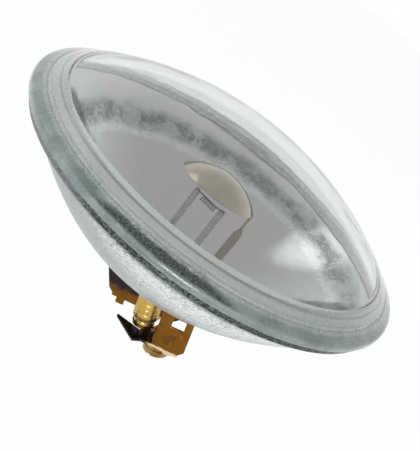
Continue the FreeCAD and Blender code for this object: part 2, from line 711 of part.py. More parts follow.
def make_terminals():
    """Both terminals, from the bracket down to the screw."""
    post_x, post_y = (near_post[i] - near_origin[i] for i in (0, 1))
    near_edge = [(S.near_width, plate_height(near_origin, S.near_width))]
    window_right = S.window_from + S.window_width
    near_window = (S.window_from, S.window_level, window_right, S.window_level + S.window_height)
    near_foot = (
        post_x - S.near_foot_inner, post_x + S.near_foot_outer,
        ZERO, post_y + S.near_foot_back,
    )
    near_tab = (S.near_tab_gap, S.near_tab_length)
    make_bracket("near", near_origin, 1, S.near_width, near_edge, near_window, near_tab, near_foot)
    make_fasteners("near", near_origin, 1)

    post_x, post_y = (far_post[i] - far_origin[i] for i in (0, 1))
    far_top = S.far_width + S.far_flare
    far_edge = [(far_top, S.far_flare_height), (far_top, plate_height(far_origin, -far_top))]
    far_foot = (
        post_x - S.far_foot_outer, post_x + S.far_foot_inner,
        post_y - S.far_foot_front, S.sheet,
    )
    far_tab = (S.far_tab_gap, S.far_tab_length)
    make_bracket("far", far_origin, -1, S.far_width, far_edge, None, far_tab, far_foot)
    make_fasteners("far", far_origin, -1)


def check(folder):
    """Stop before anything is written if a feature failed or a piece isn't one sound solid."""
    doc.recompute()
    for thing in doc.Objects:
        for state in ("Invalid", "Error"):
            if state in thing.State:
                raise RuntimeError(f"{thing.Name} is {state}")
    for piece in parts:
        shape = piece.Shape
        if shape.isNull() or not shape.isValid() or len(shape.Solids) != 1:
            raise RuntimeError(f"{piece.Label} is not one sound solid")
    os.makedirs(folder, exist_ok=True)
    for piece in parts:
        piece.Shape.exportStep(os.path.join(folder, f"{piece.Label}.step"))


make_lens()
make_bowl()
make_exhaust_tube()
make_lead_post("lead_post_near", 0)
make_lead_post("lead_post_far", 180)
make_filament()
make_shield()
make_ferrule("near", 0)
make_ferrule("far", 180)
make_solder("near", near_post)
make_solder("far", far_post)
make_terminals()
check("parts")
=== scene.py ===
"""Par spotlight bulb: a pressed glass lens, a silvered bowl and two brass screw terminals.

Lengths in the property groups are in metres. The lamp's beam axis is +Z and the origin is the
centre of the rim's rear edge. The terminals lean, so their pieces are worked out in a frame of
their own: across the bracket, away from the near side, and up towards the bowl.
"""
import math

import bmesh
import bpy
import numpy as np
from bpy.props import FloatProperty, FloatVectorProperty, IntProperty, PointerProperty
from bpy.types import Operator, Panel, PropertyGroup
from mathutils import Matrix, Vector


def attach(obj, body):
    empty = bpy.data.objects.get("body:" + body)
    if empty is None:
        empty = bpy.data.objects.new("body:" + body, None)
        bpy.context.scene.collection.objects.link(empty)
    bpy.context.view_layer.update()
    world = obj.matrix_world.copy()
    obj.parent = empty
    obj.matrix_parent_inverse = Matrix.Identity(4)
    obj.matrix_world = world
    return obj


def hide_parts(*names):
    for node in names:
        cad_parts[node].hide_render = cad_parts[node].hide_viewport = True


bl_info = {
    "name": "Par spotlight bulb",
    "version": (1, 0, 0),
    "blender": (4, 5, 0),
    "location": "3D View > Sidebar > Bulb",
    "description": "Builds a sealed-beam spotlight bulb with glass, silvering and brass terminals",
    "category": "Add Mesh",
}

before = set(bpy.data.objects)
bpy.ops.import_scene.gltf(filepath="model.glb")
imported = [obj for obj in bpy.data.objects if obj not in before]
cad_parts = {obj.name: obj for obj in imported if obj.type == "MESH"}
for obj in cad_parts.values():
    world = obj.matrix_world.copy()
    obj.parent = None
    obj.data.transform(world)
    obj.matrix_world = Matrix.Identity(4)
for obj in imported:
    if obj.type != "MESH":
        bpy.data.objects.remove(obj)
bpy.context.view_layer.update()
MM = 0.001

# Noise spreads over a whole tone between these values
NOISE_RANGE = (0.3, 0.7)
GLASS_INDEX = 1.5
# Direction away from the near side, and where along it the painted highlight whitens the frosting
FAR_SIDE = (0.25, 0.968, 0.0)
FAR_START = 8 * MM
# Levels of the rim's two painted shade lines, drawn as fine grooves, in millimetres
PAINTED_GROOVE_LEVELS = (3.95, 5.15)
# Middle of the mirror's dark ring, partly a darkened edge of the film and partly a painted reflection
RING_CENTRE = (2.4 * MM, 0.8 * MM)
FLOOR_TONES = ((0.90, 0.90, 0.90), (0.93, 0.93, 0.93))
# Share of the floor's white that doesn't take shadows
WHITE_SHARE = 0.94
# Backdrop that mirrors see: at the horizon and overhead
SKY_TONES = ((0.90, 0.90, 0.90), (0.56, 0.56, 0.56))
# Places in it that differ: direction, where they start and are full, level
SKY_PATCHES = (((0.0, -0.80, 0.60), 0.84, 0.97, 0.14), ((-0.72, 0.236, 0.652), 0.952, 0.997, 1.6))
# Soft lights: name, place, power, size, seen in mirrors
LAMPS = (("key", (-0.50, -0.30, 0.42), 2.6, 0.36, False),
         ("fill", (0.10, -0.55, -0.04), 0.9, 0.20, True),
         ("back", (0.30, 0.55, 0.60), 1.5, 0.40, False))
SIDES = (("near", 0.0), ("far", math.pi))


# Properties

def length(name, description, millimetres):
    """A size that a user may change."""
    return FloatProperty(name=name, description=description, default=millimetres * MM,
                         min=0.0, unit="LENGTH", precision=5)


def bearing(name, description, radians):
    """A direction or a lean."""
    return FloatProperty(name=name, description=description, default=radians, subtype="ANGLE")


def point(name, description, millimetres):
    """A point of the lamp."""
    return FloatVectorProperty(name=name, description=description, subtype="TRANSLATION",
                               default=[value * MM for value in millimetres], precision=5)


def colour(name, description, red, green, blue):
    """A linear colour."""
    return FloatVectorProperty(name=name, description=description, subtype="COLOR",
                               default=(red, green, blue), min=0.0, max=1.0)


class BulbGlass(PropertyGroup):
    """Lens and reflector bowl."""

    rim_radius: length("Rim radius", "Outer radius of the lens's rim", 57.15)
    rim_height: length("Rim height", "Height of the rim's plain edge", 1.75)
    shoulder_radius: length("Shoulder radius", "Top of the shoulder inside the rim", 53.9)
    shoulder_height: length("Shoulder height", "Height of the top of the shoulder", 3.3)
    step_radius: length("Step radius", "Top of the step inside the shoulder", 53.2)
    step_height: length("Step height", "Height of the top of the step", 4.1)
    dome_radius: length("Dome radius", "Radius where the dome begins", 50.4)
    dome_foot: length("Dome foot", "Height where the dome begins", 5.7)
    dome_top: length("Dome top", "Height of the middle of the lens", 18.65)
    lens_wall: length("Lens wall", "Glass thickness of the dome", 3.3)
    lens_inner_radius: length("Inner dome radius", "Radius where the inside of the dome begins", 49.0)
    lens_inner_foot: length("Inner dome foot", "Height where the inside of the dome begins", 2.6)
    bowl_radius: length("Bowl radius", "Outer radius of the bowl's edge", 56.0)
    bowl_depth: length("Bowl depth", "Depth of the bowl, outside", 31.75)
    bowl_wall: length("Bowl wall", "Glass thickness at the middle of the bowl", 3.0)
    bowl_rim_width: length("Bowl rim width", "Width of the fused edge of the bowl", 3.4)
    bowl_rim_depth: length("Bowl rim depth", "Depth of the rim band of the bowl", 2.2)
    bowl_power: FloatProperty(name="Bowl power", description="Depth goes with radius to this power",
                              default=2.31, min=1.5, max=4.0)
    boss_radius: length("Boss radius", "Glass boss under a ferrule", 5.2)
    boss_depth: length("Boss depth", "Distance of the boss's face behind the rim", 32.3)


class BulbInside(PropertyGroup):
    """Lead posts, filament and shield."""

    lead_azimuth: bearing("Lead azimuth", "Direction of the near lead post", math.radians(-12.0))
    lead_offset: length("Lead offset", "Distance of a lead post from the beam axis", 10.3)
    lead_radius: length("Lead radius", "Radius of a lead post", 1.0)
    lead_bend: length("Lead bend", "Bend radius of a post", 2.0)
    lead_level: length("Lead level", "Distance of a post's inward run behind the rim", 22.0)
    lead_gap: length("Lead gap", "Distance between the two post ends", 7.2)
    lead_foot: length("Lead foot", "Distance of a post's foot behind the rim", 33.38)
    filament_depth: length("Filament depth", "Distance of the filament behind the rim", 7.0)
    coil_radius: length("Coil radius", "Radius of the filament's coil", 0.75)
    coil_wire: length("Coil wire", "Radius of the filament wire", 0.17)
    coil_leg: length("Coil leg", "Straight leg at each end of the coil", 1.0)
    coil_turns: IntProperty(name="Coil turns", description="Turns of the filament", default=8, min=2, max=30)
    cap_radius: length("Cap radius", "Outer radius of the shield cap", 11.8)
    cap_edge: length("Cap edge", "Distance of the cap's edge behind the rim", 2.0)
    cap_height: length("Cap height", "Height of the cap's dome", 5.0)
    cap_tilt: bearing("Cap tilt", "Lean of the cap away from the near side", math.radians(8.0))
    shield_sheet: length("Shield sheet", "Sheet thickness of cap and strap", 0.5)
    strap_width: length("Strap width", "Width of the strap", 2.6)
    strap_neck: length("Strap neck", "Width of the strap's neck", 1.6)
    strap_twist: bearing("Strap twist", "Turn of the strap between its neck and the post", math.radians(50.0))
    strap_length: length("Strap length", "Length of the strap", 24.5)


class BulbTerminals(PropertyGroup):
    """Brackets, screws, ferrules and the exhaust tube."""

    lean: bearing("Lean", "Lean of the terminals towards +X", math.radians(16.5))
    near_corner: point("Near corner", "Lower inner corner of the near bracket", (12.2849, -10.3615, -47.0))
    far_corner: point("Far corner", "Lower inner corner of the far bracket", (6.5551, 2.7515, -46.5))
    sheet: length("Sheet", "Sheet thickness of the brackets", 0.8)
    foot_level: length("Foot level", "Distance of the feet behind the rim", 33.4)
    screw_across: length("Screw across", "Screw's axis from the plate's inner edge", 1.2)
    screw_back: length("Screw back", "Screw's axis behind the near face", 4.4)
    shank_radius: length("Shank radius", "Radius of the screw's shank", 1.95)
    shank_top: length("Shank top", "Height of the shank's end above the web", 4.6)
    thread_pitch: length("Thread pitch", "Pitch of the screw thread", 0.7)
    head_radius: length("Head radius", "Radius of the screw's head", 4.1)
    head_side: length("Head side", "Height of the head's side", 1.9)
    head_crown: length("Head crown", "Height of the head's dome", 1.0)
    slot_width: length("Slot width", "Width of the slot", 1.1)
    slot_depth: length("Slot depth", "Depth of the slot", 1.4)
    slot_angle: bearing("Slot angle", "Direction of the slot", math.radians(70.0))
    washer_radius: length("Washer radius", "Radius of the clamp washer", 4.3)
    washer_height: length("Washer height", "Height of the clamp washer", 1.2)
    washer_rim: length("Washer rim", "Width of the washer's raised rim", 0.9)
    washer_dish: length("Washer dish", "Depth of the washer's dish", 0.3)
    seat_gap: length("Seat gap", "Gap between faces that press on each other", 0.05)
    loose: length("Loose clearance", "Clearance of the shank in web and washer", 0.3)
    nut_flats: length("Nut flats", "Width of the nut across its flats", 5.6)
    nut_height: length("Nut height", "Height of the nut", 2.8)
    ferrule_radius: length("Ferrule radius", "Radius of a ferrule", 4.2)
    ferrule_height: length("Ferrule height", "Height of a ferrule", 1.1)
    solder_width: length("Solder width", "Width of the solder bead", 0.7)
    solder_height: length("Solder height", "Height of the solder bead", 0.7)
    tube_across: FloatProperty(name="Tube across", description="Place of the tube across the near bracket",
                               default=-5.1832 * MM, unit="LENGTH", precision=5)
    tube_back: length("Tube back", "Place of the tube behind the near face", 5.0)
    tube_end: length("Tube end", "Level of the tube's closed end", 1.1)
    tube_length: length("Tube length", "Length of the tube", 20.2)
    tube_radius: length("Tube radius", "Radius of the tube", 2.3)
    bulge_radius: length("Bulge radius", "Radius of the closed bulge", 3.0)
    bulge_height: length("Bulge height", "Height of the bulge", 3.0)
    sleeve_radius: length("Sleeve radius", "Radius of the sleeve round the tube", 3.8)
    sleeve_foot: length("Sleeve foot", "Sleeve's level above the tube's end", 4.2)
    sleeve_height: length("Sleeve height", "Length of the sleeve", 7.8)


class BulbColours(PropertyGroup):
    """Colours of the finishes, linear."""

    glass: colour("Clear glass", "Tint of the lens glass", 0.985, 0.992, 0.988)
    glass_depth: colour("Glass depth", "Colour the glass takes where it is thick", 0.62, 0.86, 0.80)
    silver: colour("Silver", "Mirror film inside the bowl", 0.595, 0.595, 0.595)
    # Painted highlight: a bright speckled line inside the mirror's dark ring
    film_painted_glint: colour("Film glint", "Bright speckles inside the darkened edge", 0.94, 0.94, 0.92)
    # The next colour gives fine dark specks, and a dark ring near the film's edge that is partly a darkened edge
    # and partly a painted reflection
    film_dark_and_reflection: colour("Film edge", "Darkened edge of the mirror film", 0.055, 0.070, 0.072)
    # The next two colours are the bowl's silver with painted light on its near side and with painted shade away
    # from it
    bowl_painted_light: colour("Bowl light", "Frosty silver outside the bowl", 0.86, 0.89, 0.90)
    bowl_painted_shade: colour("Bowl shade", "Duller silver away from the near side", 0.42, 0.445, 0.455)
    bowl_dark: colour("Bowl dark", "Specks in the bowl's silver", 0.19, 0.21, 0.215)
    seam: colour("Seam", "Speckled band of the bowl under its rim", 0.018, 0.026, 0.026)
    rim_light: colour("Rim light", "Frosted rim of the lens", 0.40, 0.48, 0.46)
    rim_shade: colour("Rim shade", "Deeper green of the lens's rim", 0.22, 0.29, 0.275)
    # Painted shade where one looks into the rim, also used for its two painted groove lines
    rim_painted_shade: colour("Rim deep", "What shows where one looks into the rim", 0.014, 0.022, 0.021)
    # Painted highlight along the rim's shoulder
    rim_painted_highlight: colour("Rim sparkle", "Frosty line on the rim's shoulder", 0.72, 0.76, 0.74)
    rim_step: colour("Rim step", "Greyer glass of the step inside the shoulder", 0.60, 0.64, 0.62)
    # Painted highlight: the far side of the rim's foot and of the bowl's fused face turned white
    rim_far_highlight: colour("Rim far", "White frosted step on the far side", 0.93, 0.95, 0.94)
    rim_face: colour("Rim face", "Frosted fused face under the lens's rim", 0.44, 0.50, 0.48)
    brown_brass: colour("Brown brass", "Aged brass of the brackets", 0.185, 0.078, 0.011)
    # Dark brass: stains of the brackets, painted shade on brackets and washers, and the darker hollows of tube
    # and screws
    brass_stain_and_shade: colour("Dark brass", "Burnt patches of the brackets", 0.030, 0.024, 0.024)
    tube_brass: colour("Tube brass", "Golden brass of the exhaust tube", 0.56, 0.37, 0.11)
    screw_brass: colour("Screw brass", "Pale brass of screws and washers", 0.38, 0.255, 0.10)
    inner_metal: colour("Inner metal", "Satin metal of the shield", 0.52, 0.465, 0.38)
    post_metal: colour("Post metal", "Nickel of the lead posts", 0.82, 0.82, 0.80)
    # Painted highlight along the brackets' lower fold
    fold_highlight_brass: colour("Worn brass", "Rubbed bright edges of the brackets", 0.80, 0.66, 0.40)
    solder: colour("Solder", "Dull solder and ferrules", 0.36, 0.35, 0.33)


class BulbStage(PropertyGroup):
    """Floor, lights and camera."""

    floor_level: FloatProperty(name="Floor level", description="Height of the floor", default=-0.16,
                               unit="LENGTH")
    camera_place: FloatVectorProperty(name="Camera place", description="Where the camera stands",
                                      default=(0.00421, -0.18404, 0.07213), subtype="TRANSLATION",
                                      precision=5)
    camera_pitch: bearing("Camera pitch", "How far the camera looks down", 0.4258)
    camera_roll: bearing("Camera roll", "How far the camera is rolled", 0.6779)
    camera_lens: FloatProperty(name="Camera lens", description="Focal length for a 36 mm long side",
                               default=58.2246, unit="CAMERA")


# Shapes

def arc(start, end, steps):
    """Points of an arc from start to end, the start left out.

    The circle goes through both points and has its centre on the r = 0 axis.
    """
    (r0, z0), (r1, z1) = start, end
    middle = (r0**2 - r1**2 + z0**2 - z1**2) / (2 * (z0 - z1))
    radius = math.hypot(r0, z0 - middle)
    first, last = math.atan2(z0 - middle, r0), math.atan2(z1 - middle, r1)
    turn = first + (last - first) * np.linspace(0.0, 1.0, steps + 1)[1:]
    return np.column_stack((radius * np.cos(turn), middle + radius * np.sin(turn)))


def rounded(corners, steps=5):
    """Outline through corners (x, y, radius), each with a radius rounded by a quadratic curve.

    A corner takes up at most 0.48 of each side.
    """
    points = []
    count = len(corners)
    most = 0.48
    for index, (x, y, radius) in enumerate(corners):
        here = np.array([x, y])
        if radius <= 0:
            points.append(here[None])
            continue
        before = np.array(corners[index - 1][:2]) - here
        after = np.array(corners[(index + 1) % count][:2]) - here
        reach_in = min(radius, most * np.linalg.norm(before))
        reach_out = min(radius, most * np.linalg.norm(after))
        first = here + before / np.linalg.norm(before) * reach_in
        last = here + after / np.linalg.norm(after) * reach_out
        t = np.linspace(0.0, 1.0, steps)[:, None]
        points.append((1 - t) ** 2 * first + 2 * t * (1 - t) * here + t**2 * last)
    return np.vstack(points)


def grid_quads(rows, columns, wrap_rows=False, wrap_columns=False):
    """Corner numbers of the quads of a grid whose points run along the columns first."""
    row = np.arange(rows if wrap_rows else rows - 1)
    column = np.arange(columns if wrap_columns else columns - 1)
    i, j = np.meshgrid(row, column, indexing="ij")
    i2, j2 = (i + 1) % rows, (j + 1) % columns
    quads = np.stack((i * columns + j, i * columns + j2, i2 * columns + j2, i2 * columns + j), axis=-1)
    return quads.reshape(-1, 4)


def to_mesh(name, points, quads, merge=1e-7, recalculate=True):
    """Object from points and quads; points closer than merge become one, faces point outwards."""
    mesh = bpy.data.meshes.new(name)
    mesh.vertices.add(len(points))
    mesh.vertices.foreach_set("co", np.ascontiguousarray(points, dtype=np.float32).ravel())
    mesh.loops.add(quads.size)
    mesh.loops.foreach_set("vertex_index", quads.ravel().astype(np.int32))
    mesh.polygons.add(len(quads))
    mesh.polygons.foreach_set("loop_start", np.arange(0, quads.size, 4, dtype=np.int32))
    mesh.update(calc_edges=True)
    shape = bmesh.new()
    shape.from_mesh(mesh)
    bmesh.ops.remove_doubles(shape, verts=shape.verts, dist=merge)
    bmesh.ops.dissolve_degenerate(shape, edges=shape.edges, dist=merge)
    if recalculate:
        bmesh.ops.recalc_face_normals(shape, faces=shape.faces)
    shape.to_mesh(mesh)
    shape.free()
    thing = bpy.data.objects.new(name, mesh)
    bpy.context.scene.collection.objects.link(thing)
    return thing


def smooth(thing, degrees):
    """Shade smoothly, with edges sharper than so many degrees kept sharp."""
    thing.data.shade_smooth()
    thing.data.set_sharp_from_angle(angle=math.radians(degrees))
    return thing


def spun(name, profile, turns, centre=(0.0, 0.0, 0.0), frame_matrix=None, wobble=None):
    """Closed profile of (r, z) turned about its upright axis, in so many steps a turn.

    A point is (r cos a, r sin a, z) for each angle a. wobble may change r and z with a: it takes
    the arrays r, z and a and gives new ones.
    """
    a = np.linspace(0.0, 2 * math.pi, turns, endpoint=False)
    r = np.repeat(profile[:, 0][:, None], turns, axis=1)
    z = np.repeat(profile[:, 1][:, None], turns, axis=1)
    a = np.repeat(a[None], len(profile), axis=0)
    if wobble is not None:
        r, z = wobble(r, z, a)
    points = np.stack((r * np.cos(a), r * np.sin(a), z), axis=-1).reshape(-1, 3)
    points = points + np.array(centre)
    if frame_matrix is not None:
        points = moved(points, frame_matrix)
    return to_mesh(name, points, grid_quads(len(profile), turns, True, True))


def moved(points, matrix):
    """Points carried by a 4 by 4 matrix."""
    matrix = np.array(matrix)
    return points @ matrix[:3, :3].T + matrix[:3, 3]


def tube_along(name, path, radius, reference, sides):
    """Round rod along a path of points, with closed ends.

    At each point a ring stands square to the path: its first axis is the path's direction crossed
    with the reference direction, its second the path's direction crossed with the first.
    """
    path = np.asarray(path, float)
    way = np.gradient(path, axis=0)
    way /= np.linalg.norm(way, axis=1)[:, None]
    across = np.cross(way, reference)
    across /= np.linalg.norm(across, axis=1)[:, None]
    other = np.cross(way, across)
    a = np.linspace(0.0, 2 * math.pi, sides, endpoint=False)
    ring = across[:, None] * np.cos(a)[None, :, None] + other[:, None] * np.sin(a)[None, :, None]
    radii = np.broadcast_to(np.asarray(radius, float), (len(path),))
    points = path[:, None] + ring * radii[:, None, None]
    first, last = (np.repeat(path[index][None, None], sides, 1) for index in (0, -1))
    points = np.concatenate((first, points, last))
    return to_mesh(name, points.reshape(-1, 3), grid_quads(len(points), sides, False, True))


def sheet_from_grid(name, surface, thickness, towards, bevel):
    """Folded sheet: a grid of points (rows, columns, 3) thickened, with eased edges.

    The grid is the outer face, which looks towards the given direction, and the thickness lies
    behind it.
    """
    rows, columns = surface.shape[:2]
    quads = grid_quads(rows, columns)
    a, b, d = surface[0, 0], surface[0, 1], surface[1, 0]
    if np.dot(np.cross(b - a, d - a), towards) < 0:
        quads = quads[:, ::-1]
    thing = to_mesh(name, surface.reshape(-1, 3), quads, recalculate=False)
    wall = thing.modifiers.new("Sheet", "SOLIDIFY")
    wall.thickness = thickness
    wall.offset = -1.0
    ease = thing.modifiers.new("Eased edges", "BEVEL")
    ease.width = bevel
    ease.segments = 2
    ease.limit_method = "ANGLE"
    ease.angle_limit = math.radians(50)
    return thing


def terminal_frame(corner, lean):
    """Matrix from a terminal's own frame to the lamp's."""
    return Matrix.Translation(corner) @ Matrix.Rotation(lean, 4, (0, -1, 0))


def lean_axes(lean):
    """Directions across and up of the leaning terminals."""
    return np.array((math.cos(lean), 0.0, math.sin(lean))), np.array((-math.sin(lean), 0.0, math.cos(lean)))


def post_place(inside, turn):
    """Where a lead post stands, at the level of the rim's rear edge."""
    azimuth = inside.lead_azimuth + turn
    return inside.lead_offset * math.cos(azimuth), inside.lead_offset * math.sin(azimuth), 0.0


def sizes(context):
    """The property groups of the scene."""
    scene = context.scene
    return scene.bulb_glass, scene.bulb_inside, scene.bulb_terminals, scene.bulb_colours


def settle(thing, body, slot, nodes, *materials):
    """Give a piece its finish and its body, and hide the nodes that it stands for. The slot is not used."""
    thing.data.materials.clear()
    for material in materials:
        thing.data.materials.append(material)
    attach(thing, body)
    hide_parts(*nodes)
    return thing


def second_finish(thing, where):
    """Give a piece's second material to the faces for whose middles (x, y, z) where() holds."""
    mesh = thing.data
    middle = np.empty(len(mesh.polygons) * 3, np.float32)
    mesh.polygons.foreach_get("center", middle)
    chosen = where(*middle.reshape(-1, 3).T)
    mesh.polygons.foreach_set("material_index", chosen.astype(np.int32))


# Finishes

class Nodes:
    """A node tree being built."""

    def __init__(self, tree):
        self.tree = tree

    def put(self, socket, value):
        """Link a socket, or give it a plain value."""
        if isinstance(value, bpy.types.NodeSocket):
            self.tree.links.new(value, socket)
        else:
            socket.default_value = value

    def node(self, kind, sockets=None, **settings):
        """New shader node with its settings, and its sockets linked or given plain values."""
        node = self.tree.nodes.new("ShaderNode" + kind)
        for name, value in settings.items():
            setattr(node, name, value)
        for socket, value in (sockets or {}).items():
            self.put(node.inputs[socket], value)
        return node

    def span(self, value, low, high, to_low=0.0, to_high=1.0):
        """Carry a value softly from one range to another, held at its ends."""
        sockets = {"Value": value, "From Min": low, "From Max": high, "To Min": to_low, "To Max": to_high}
        return self.node("MapRange", sockets, interpolation_type="SMOOTHSTEP").outputs["Result"]

    def sum(self, first, second, kind="ADD"):
        """Two values added, or joined by another kind of sum."""
        return self.node("Math", {0: first, 1: second}, operation=kind).outputs[0]

    def times(self, product, *values):
        """Values multiplied together."""
        for value in values:
            product = self.sum(product, value, "MULTIPLY")
        return product

    def mix(self, amount, first, second):
        """Colour between two colours."""
        ends = [value if isinstance(value, bpy.types.NodeSocket) else (*value[:3], 1.0)
                for value in (first, second)]
        return self.node("Mix", {0: amount, 6: ends[0], 7: ends[1]}, data_type="RGBA").outputs[2]

    def dot(self, place, way):
        """How far a place lies along a direction."""
        return self.node("VectorMath", {0: place, 1: way}, operation="DOT_PRODUCT").outputs["Value"]

    def part(self, place, axis):
        """One of a place's coordinates."""
        return self.node("SeparateXYZ", {0: place}).outputs[axis]


class Finish(Nodes):
    """A material being built on the Principled shader, with object coordinates to hand."""

    def __init__(self, name):
        self.material = bpy.data.materials.new(name)
        self.material.use_nodes = True
        super().__init__(self.material.node_tree)
        self.shader = self.tree.nodes["Principled BSDF"]
        self.output = self.tree.nodes["Material Output"]
        self.place = self.node("TexCoord").outputs["Object"]

    def surface(self, **values):
        """Set the shader's sockets by name, with underscores for spaces."""
        for name, value in values.items():
            self.put(self.shader.inputs[name.replace("_", " ")], value)

    def stretch(self, scale):
        """Object coordinates with their own scale along each axis."""
        return self.node("Mapping", {"Scale": scale, "Vector": self.place}, vector_type="TEXTURE").outputs[0]

    def noise(self, grain, detail=3.0, rough=0.55, place=None, distortion=0.0):
        """Cloudy noise whose lumps are about grain metres wide."""
        sockets = {"Scale": 1.0 / grain, "Detail": detail, "Roughness": rough, "Distortion": distortion,
                   "Vector": place or self.place}
        return self.node("TexNoise", sockets).outputs["Fac"]

    def cloud(self, grain, detail=3.0, to_low=0.0, to_high=1.0, rough=0.55):
        """Cloudy noise spread from one value to another."""
        return self.span(self.noise(grain, detail, rough), *NOISE_RANGE, to_low, to_high)

    def band(self, value, *levels):
        """One between the second and third of four levels in millimetres, none outside the others."""
        low, full, still, high = (level * MM for level in levels)
        return self.times(self.span(value, low, full), self.span(value, still, high, 1.0, 0.0))

    def along(self, way):
        """How far a point lies along a direction, in metres."""
        return self.dot(self.place, way)

    def ragged(self, value, grain, reach, detail=3.0, rough=0.55):
        """A length made uneven by noise, by up to the reach in metres."""
        return self.sum(value, self.times(self.noise(grain, detail, rough), reach))

    def radius(self, *centre):
        """Distance from an upright line, in metres."""
        squares = [self.sum(self.sum(self.part(self.place, axis), middle, "SUBTRACT"), 2.0, "POWER")
                   for axis, middle in zip("XY", centre)]
        return self.sum(self.sum(*squares), 0.5, "POWER")

    def relief(self, height, depth, strength=1.0):
        """Bump from a height, with its full depth in metres; gives the material."""
        bump = self.node("Bump", {"Strength": strength, "Distance": depth, "Height": height})
        self.put(self.shader.inputs["Normal"], bump.outputs["Normal"])
        return self.material

    def hollows(self, low, high, most):
        """How much a place is a hollow of the surface, from its pointiness."""
        pits = self.node("NewGeometry").outputs["Pointiness"]
        return self.span(pits, low, high, most, 0.0)


def lens_glass(colours):
    """Pressed borosilicate: clear, faintly green in its thickness, with a slow waviness."""
    glass = Finish("clear_pressed_glass")
    glass.surface(Base_Color=(*colours.glass, 1.0), Transmission_Weight=1.0, IOR=GLASS_INDEX,
                  Roughness=glass.span(glass.noise(14 * MM, 4.0), 0.35, 0.75, 0.0, 0.015))
    depth = glass.node("VolumeAbsorption", {"Color": (*colours.glass_depth, 1.0), "Density": 14.0})
    glass.put(glass.output.inputs["Volume"], depth.outputs[0])
    waves = glass.sum(glass.noise(17 * MM, 2.0), glass.times(glass.noise(3 * MM, 2.0), 0.04))
    return glass.relief(waves, 0.35 * MM, 0.14)


def rim_glass(colours):
    """Rim of the lens: thick pressed glass, pale green on its side, grey on its step, with a
    painted highlight line, speckled, on its shoulder, painted shade in two groove lines and in a band below the
    shoulder on the near side, and a painted highlight on its lowest faces on the far side."""
    rim = Finish("frosted_rim_glass")
    plain = rim.part(rim.place, "Z")
    height = rim.ragged(plain, 3 * MM, 0.6 * MM)
    tone = rim.mix(rim.cloud(7 * MM, 4.0), colours.rim_light, colours.rim_shade)
    tone = rim.mix(rim.span(height, 3.8 * MM, 4.3 * MM), tone, colours.rim_step)
    # Painted highlight: the rim's lowest faces turn white on the far side
    far = rim.times(rim.span(rim.along(FAR_SIDE), FAR_START, 40 * MM), rim.span(height, 0.0, 0.8 * MM))
    tone = rim.mix(far, tone, colours.rim_far_highlight)
    # Painted shade: two dark lines of fine grooves, which the rim's shape does not have
    for level in PAINTED_GROOVE_LEVELS:
        groove = rim.band(plain, level - 0.20, level, level, level + 0.30)
        tone = rim.mix(rim.times(groove, 0.45), tone, colours.rim_painted_shade)
    fine = rim.noise(0.45 * MM, 3.0, 0.8)
    # Painted shade: a dark band below the shoulder, strongest on the near side and where the rim faces the view
    facing = rim.node("LayerWeight", {"Blend": 0.5}).outputs["Facing"]
    near = rim.span(rim.along((0.005, -1.0, 0.0)), 52.5 * MM, 54.6 * MM, 0.08, 1.0)
    deep = rim.times(rim.band(height, 1.8, 2.3, 3.1, 3.5), rim.span(facing, 0.50, 0.90, 1.0, 0.0), near,
                     rim.span(fine, 0.48, 0.66, 1.0, 0.35))
    tone = rim.mix(deep, tone, colours.rim_painted_shade)
    # Painted highlight: a bright speckled line along the shoulder
    line = rim.times(rim.band(height, 2.95, 3.35, 3.6, 4.0), rim.span(fine, 0.40, 0.62, 0.15, 1.0))
    rim.surface(Base_Color=rim.mix(line, tone, colours.rim_painted_highlight), IOR=GLASS_INDEX, Transmission_Weight=0.55,
                Coat_Weight=0.8, Coat_Roughness=0.06, Roughness=rim.cloud(1.5 * MM, 4.0, 0.16, 0.34))
    grain = rim.sum(rim.noise(0.8 * MM, 3.0, 0.7), rim.times(rim.noise(6 * MM), 2.0))
    return rim.relief(grain, 0.12 * MM, 0.5)


def bowl_silver(colours):
    """Silvering seen through the bowl's frosty back: speckled, with a dark band and a fused edge.

    Painted light makes it brightest on the near side and painted shade makes it duller away from it; the band
    under the rim is darkest on the near side too.
    """
    silver = Finish("frosty_silver")
    level = silver.part(silver.place, "Z")
    fine = silver.noise(0.50 * MM, 3.0, 0.85, silver.stretch((1.8, 1.0, 1.0)))
    near = silver.along((0.26, -0.966, 0.0))
    # Painted light and shade: lighter silver on the near side, duller away from it
    light = silver.mix(silver.span(near, 38 * MM, 49.5 * MM), colours.bowl_painted_shade, colours.bowl_painted_light)
    clouds = silver.span(silver.noise(8 * MM, 4.0), 0.3, 0.75, 0.5, 1.0)
    tone = silver.mix(silver.times(silver.span(fine, 0.45, 0.60), clouds), light, colours.bowl_dark)
    edge = silver.ragged(level, 0.9 * MM, 4 * MM, 4.0, 0.75)
    band = silver.times(silver.span(edge, -4.0 * MM, -1.2 * MM), silver.span(near, 36 * MM, 50 * MM, 0.45, 1.0),
                        silver.span(fine, 0.36, 0.56, 0.80, 1.0))
    tone = silver.mix(band, tone, colours.seam)
    face = silver.span(level, -0.9 * MM, -0.3 * MM)
    # Painted highlight: the fused face turns white on the far side
    fused = silver.mix(silver.span(near, -45 * MM, -10 * MM, 1.0, 0.0), colours.rim_face, colours.rim_far_highlight)
    silver.surface(Base_Color=silver.mix(face, tone, fused), Metallic=silver.span(face, 0.0, 1.0, 0.9, 0.15),
                   Roughness=silver.cloud(1.3 * MM, 4.0, 0.34, 0.52, 0.65), Coat_Weight=0.25,
                   Coat_Roughness=0.12)
    return silver.relief(silver.sum(fine, silver.times(silver.noise(4 * MM), 0.9)), 0.22 * MM, 0.8)


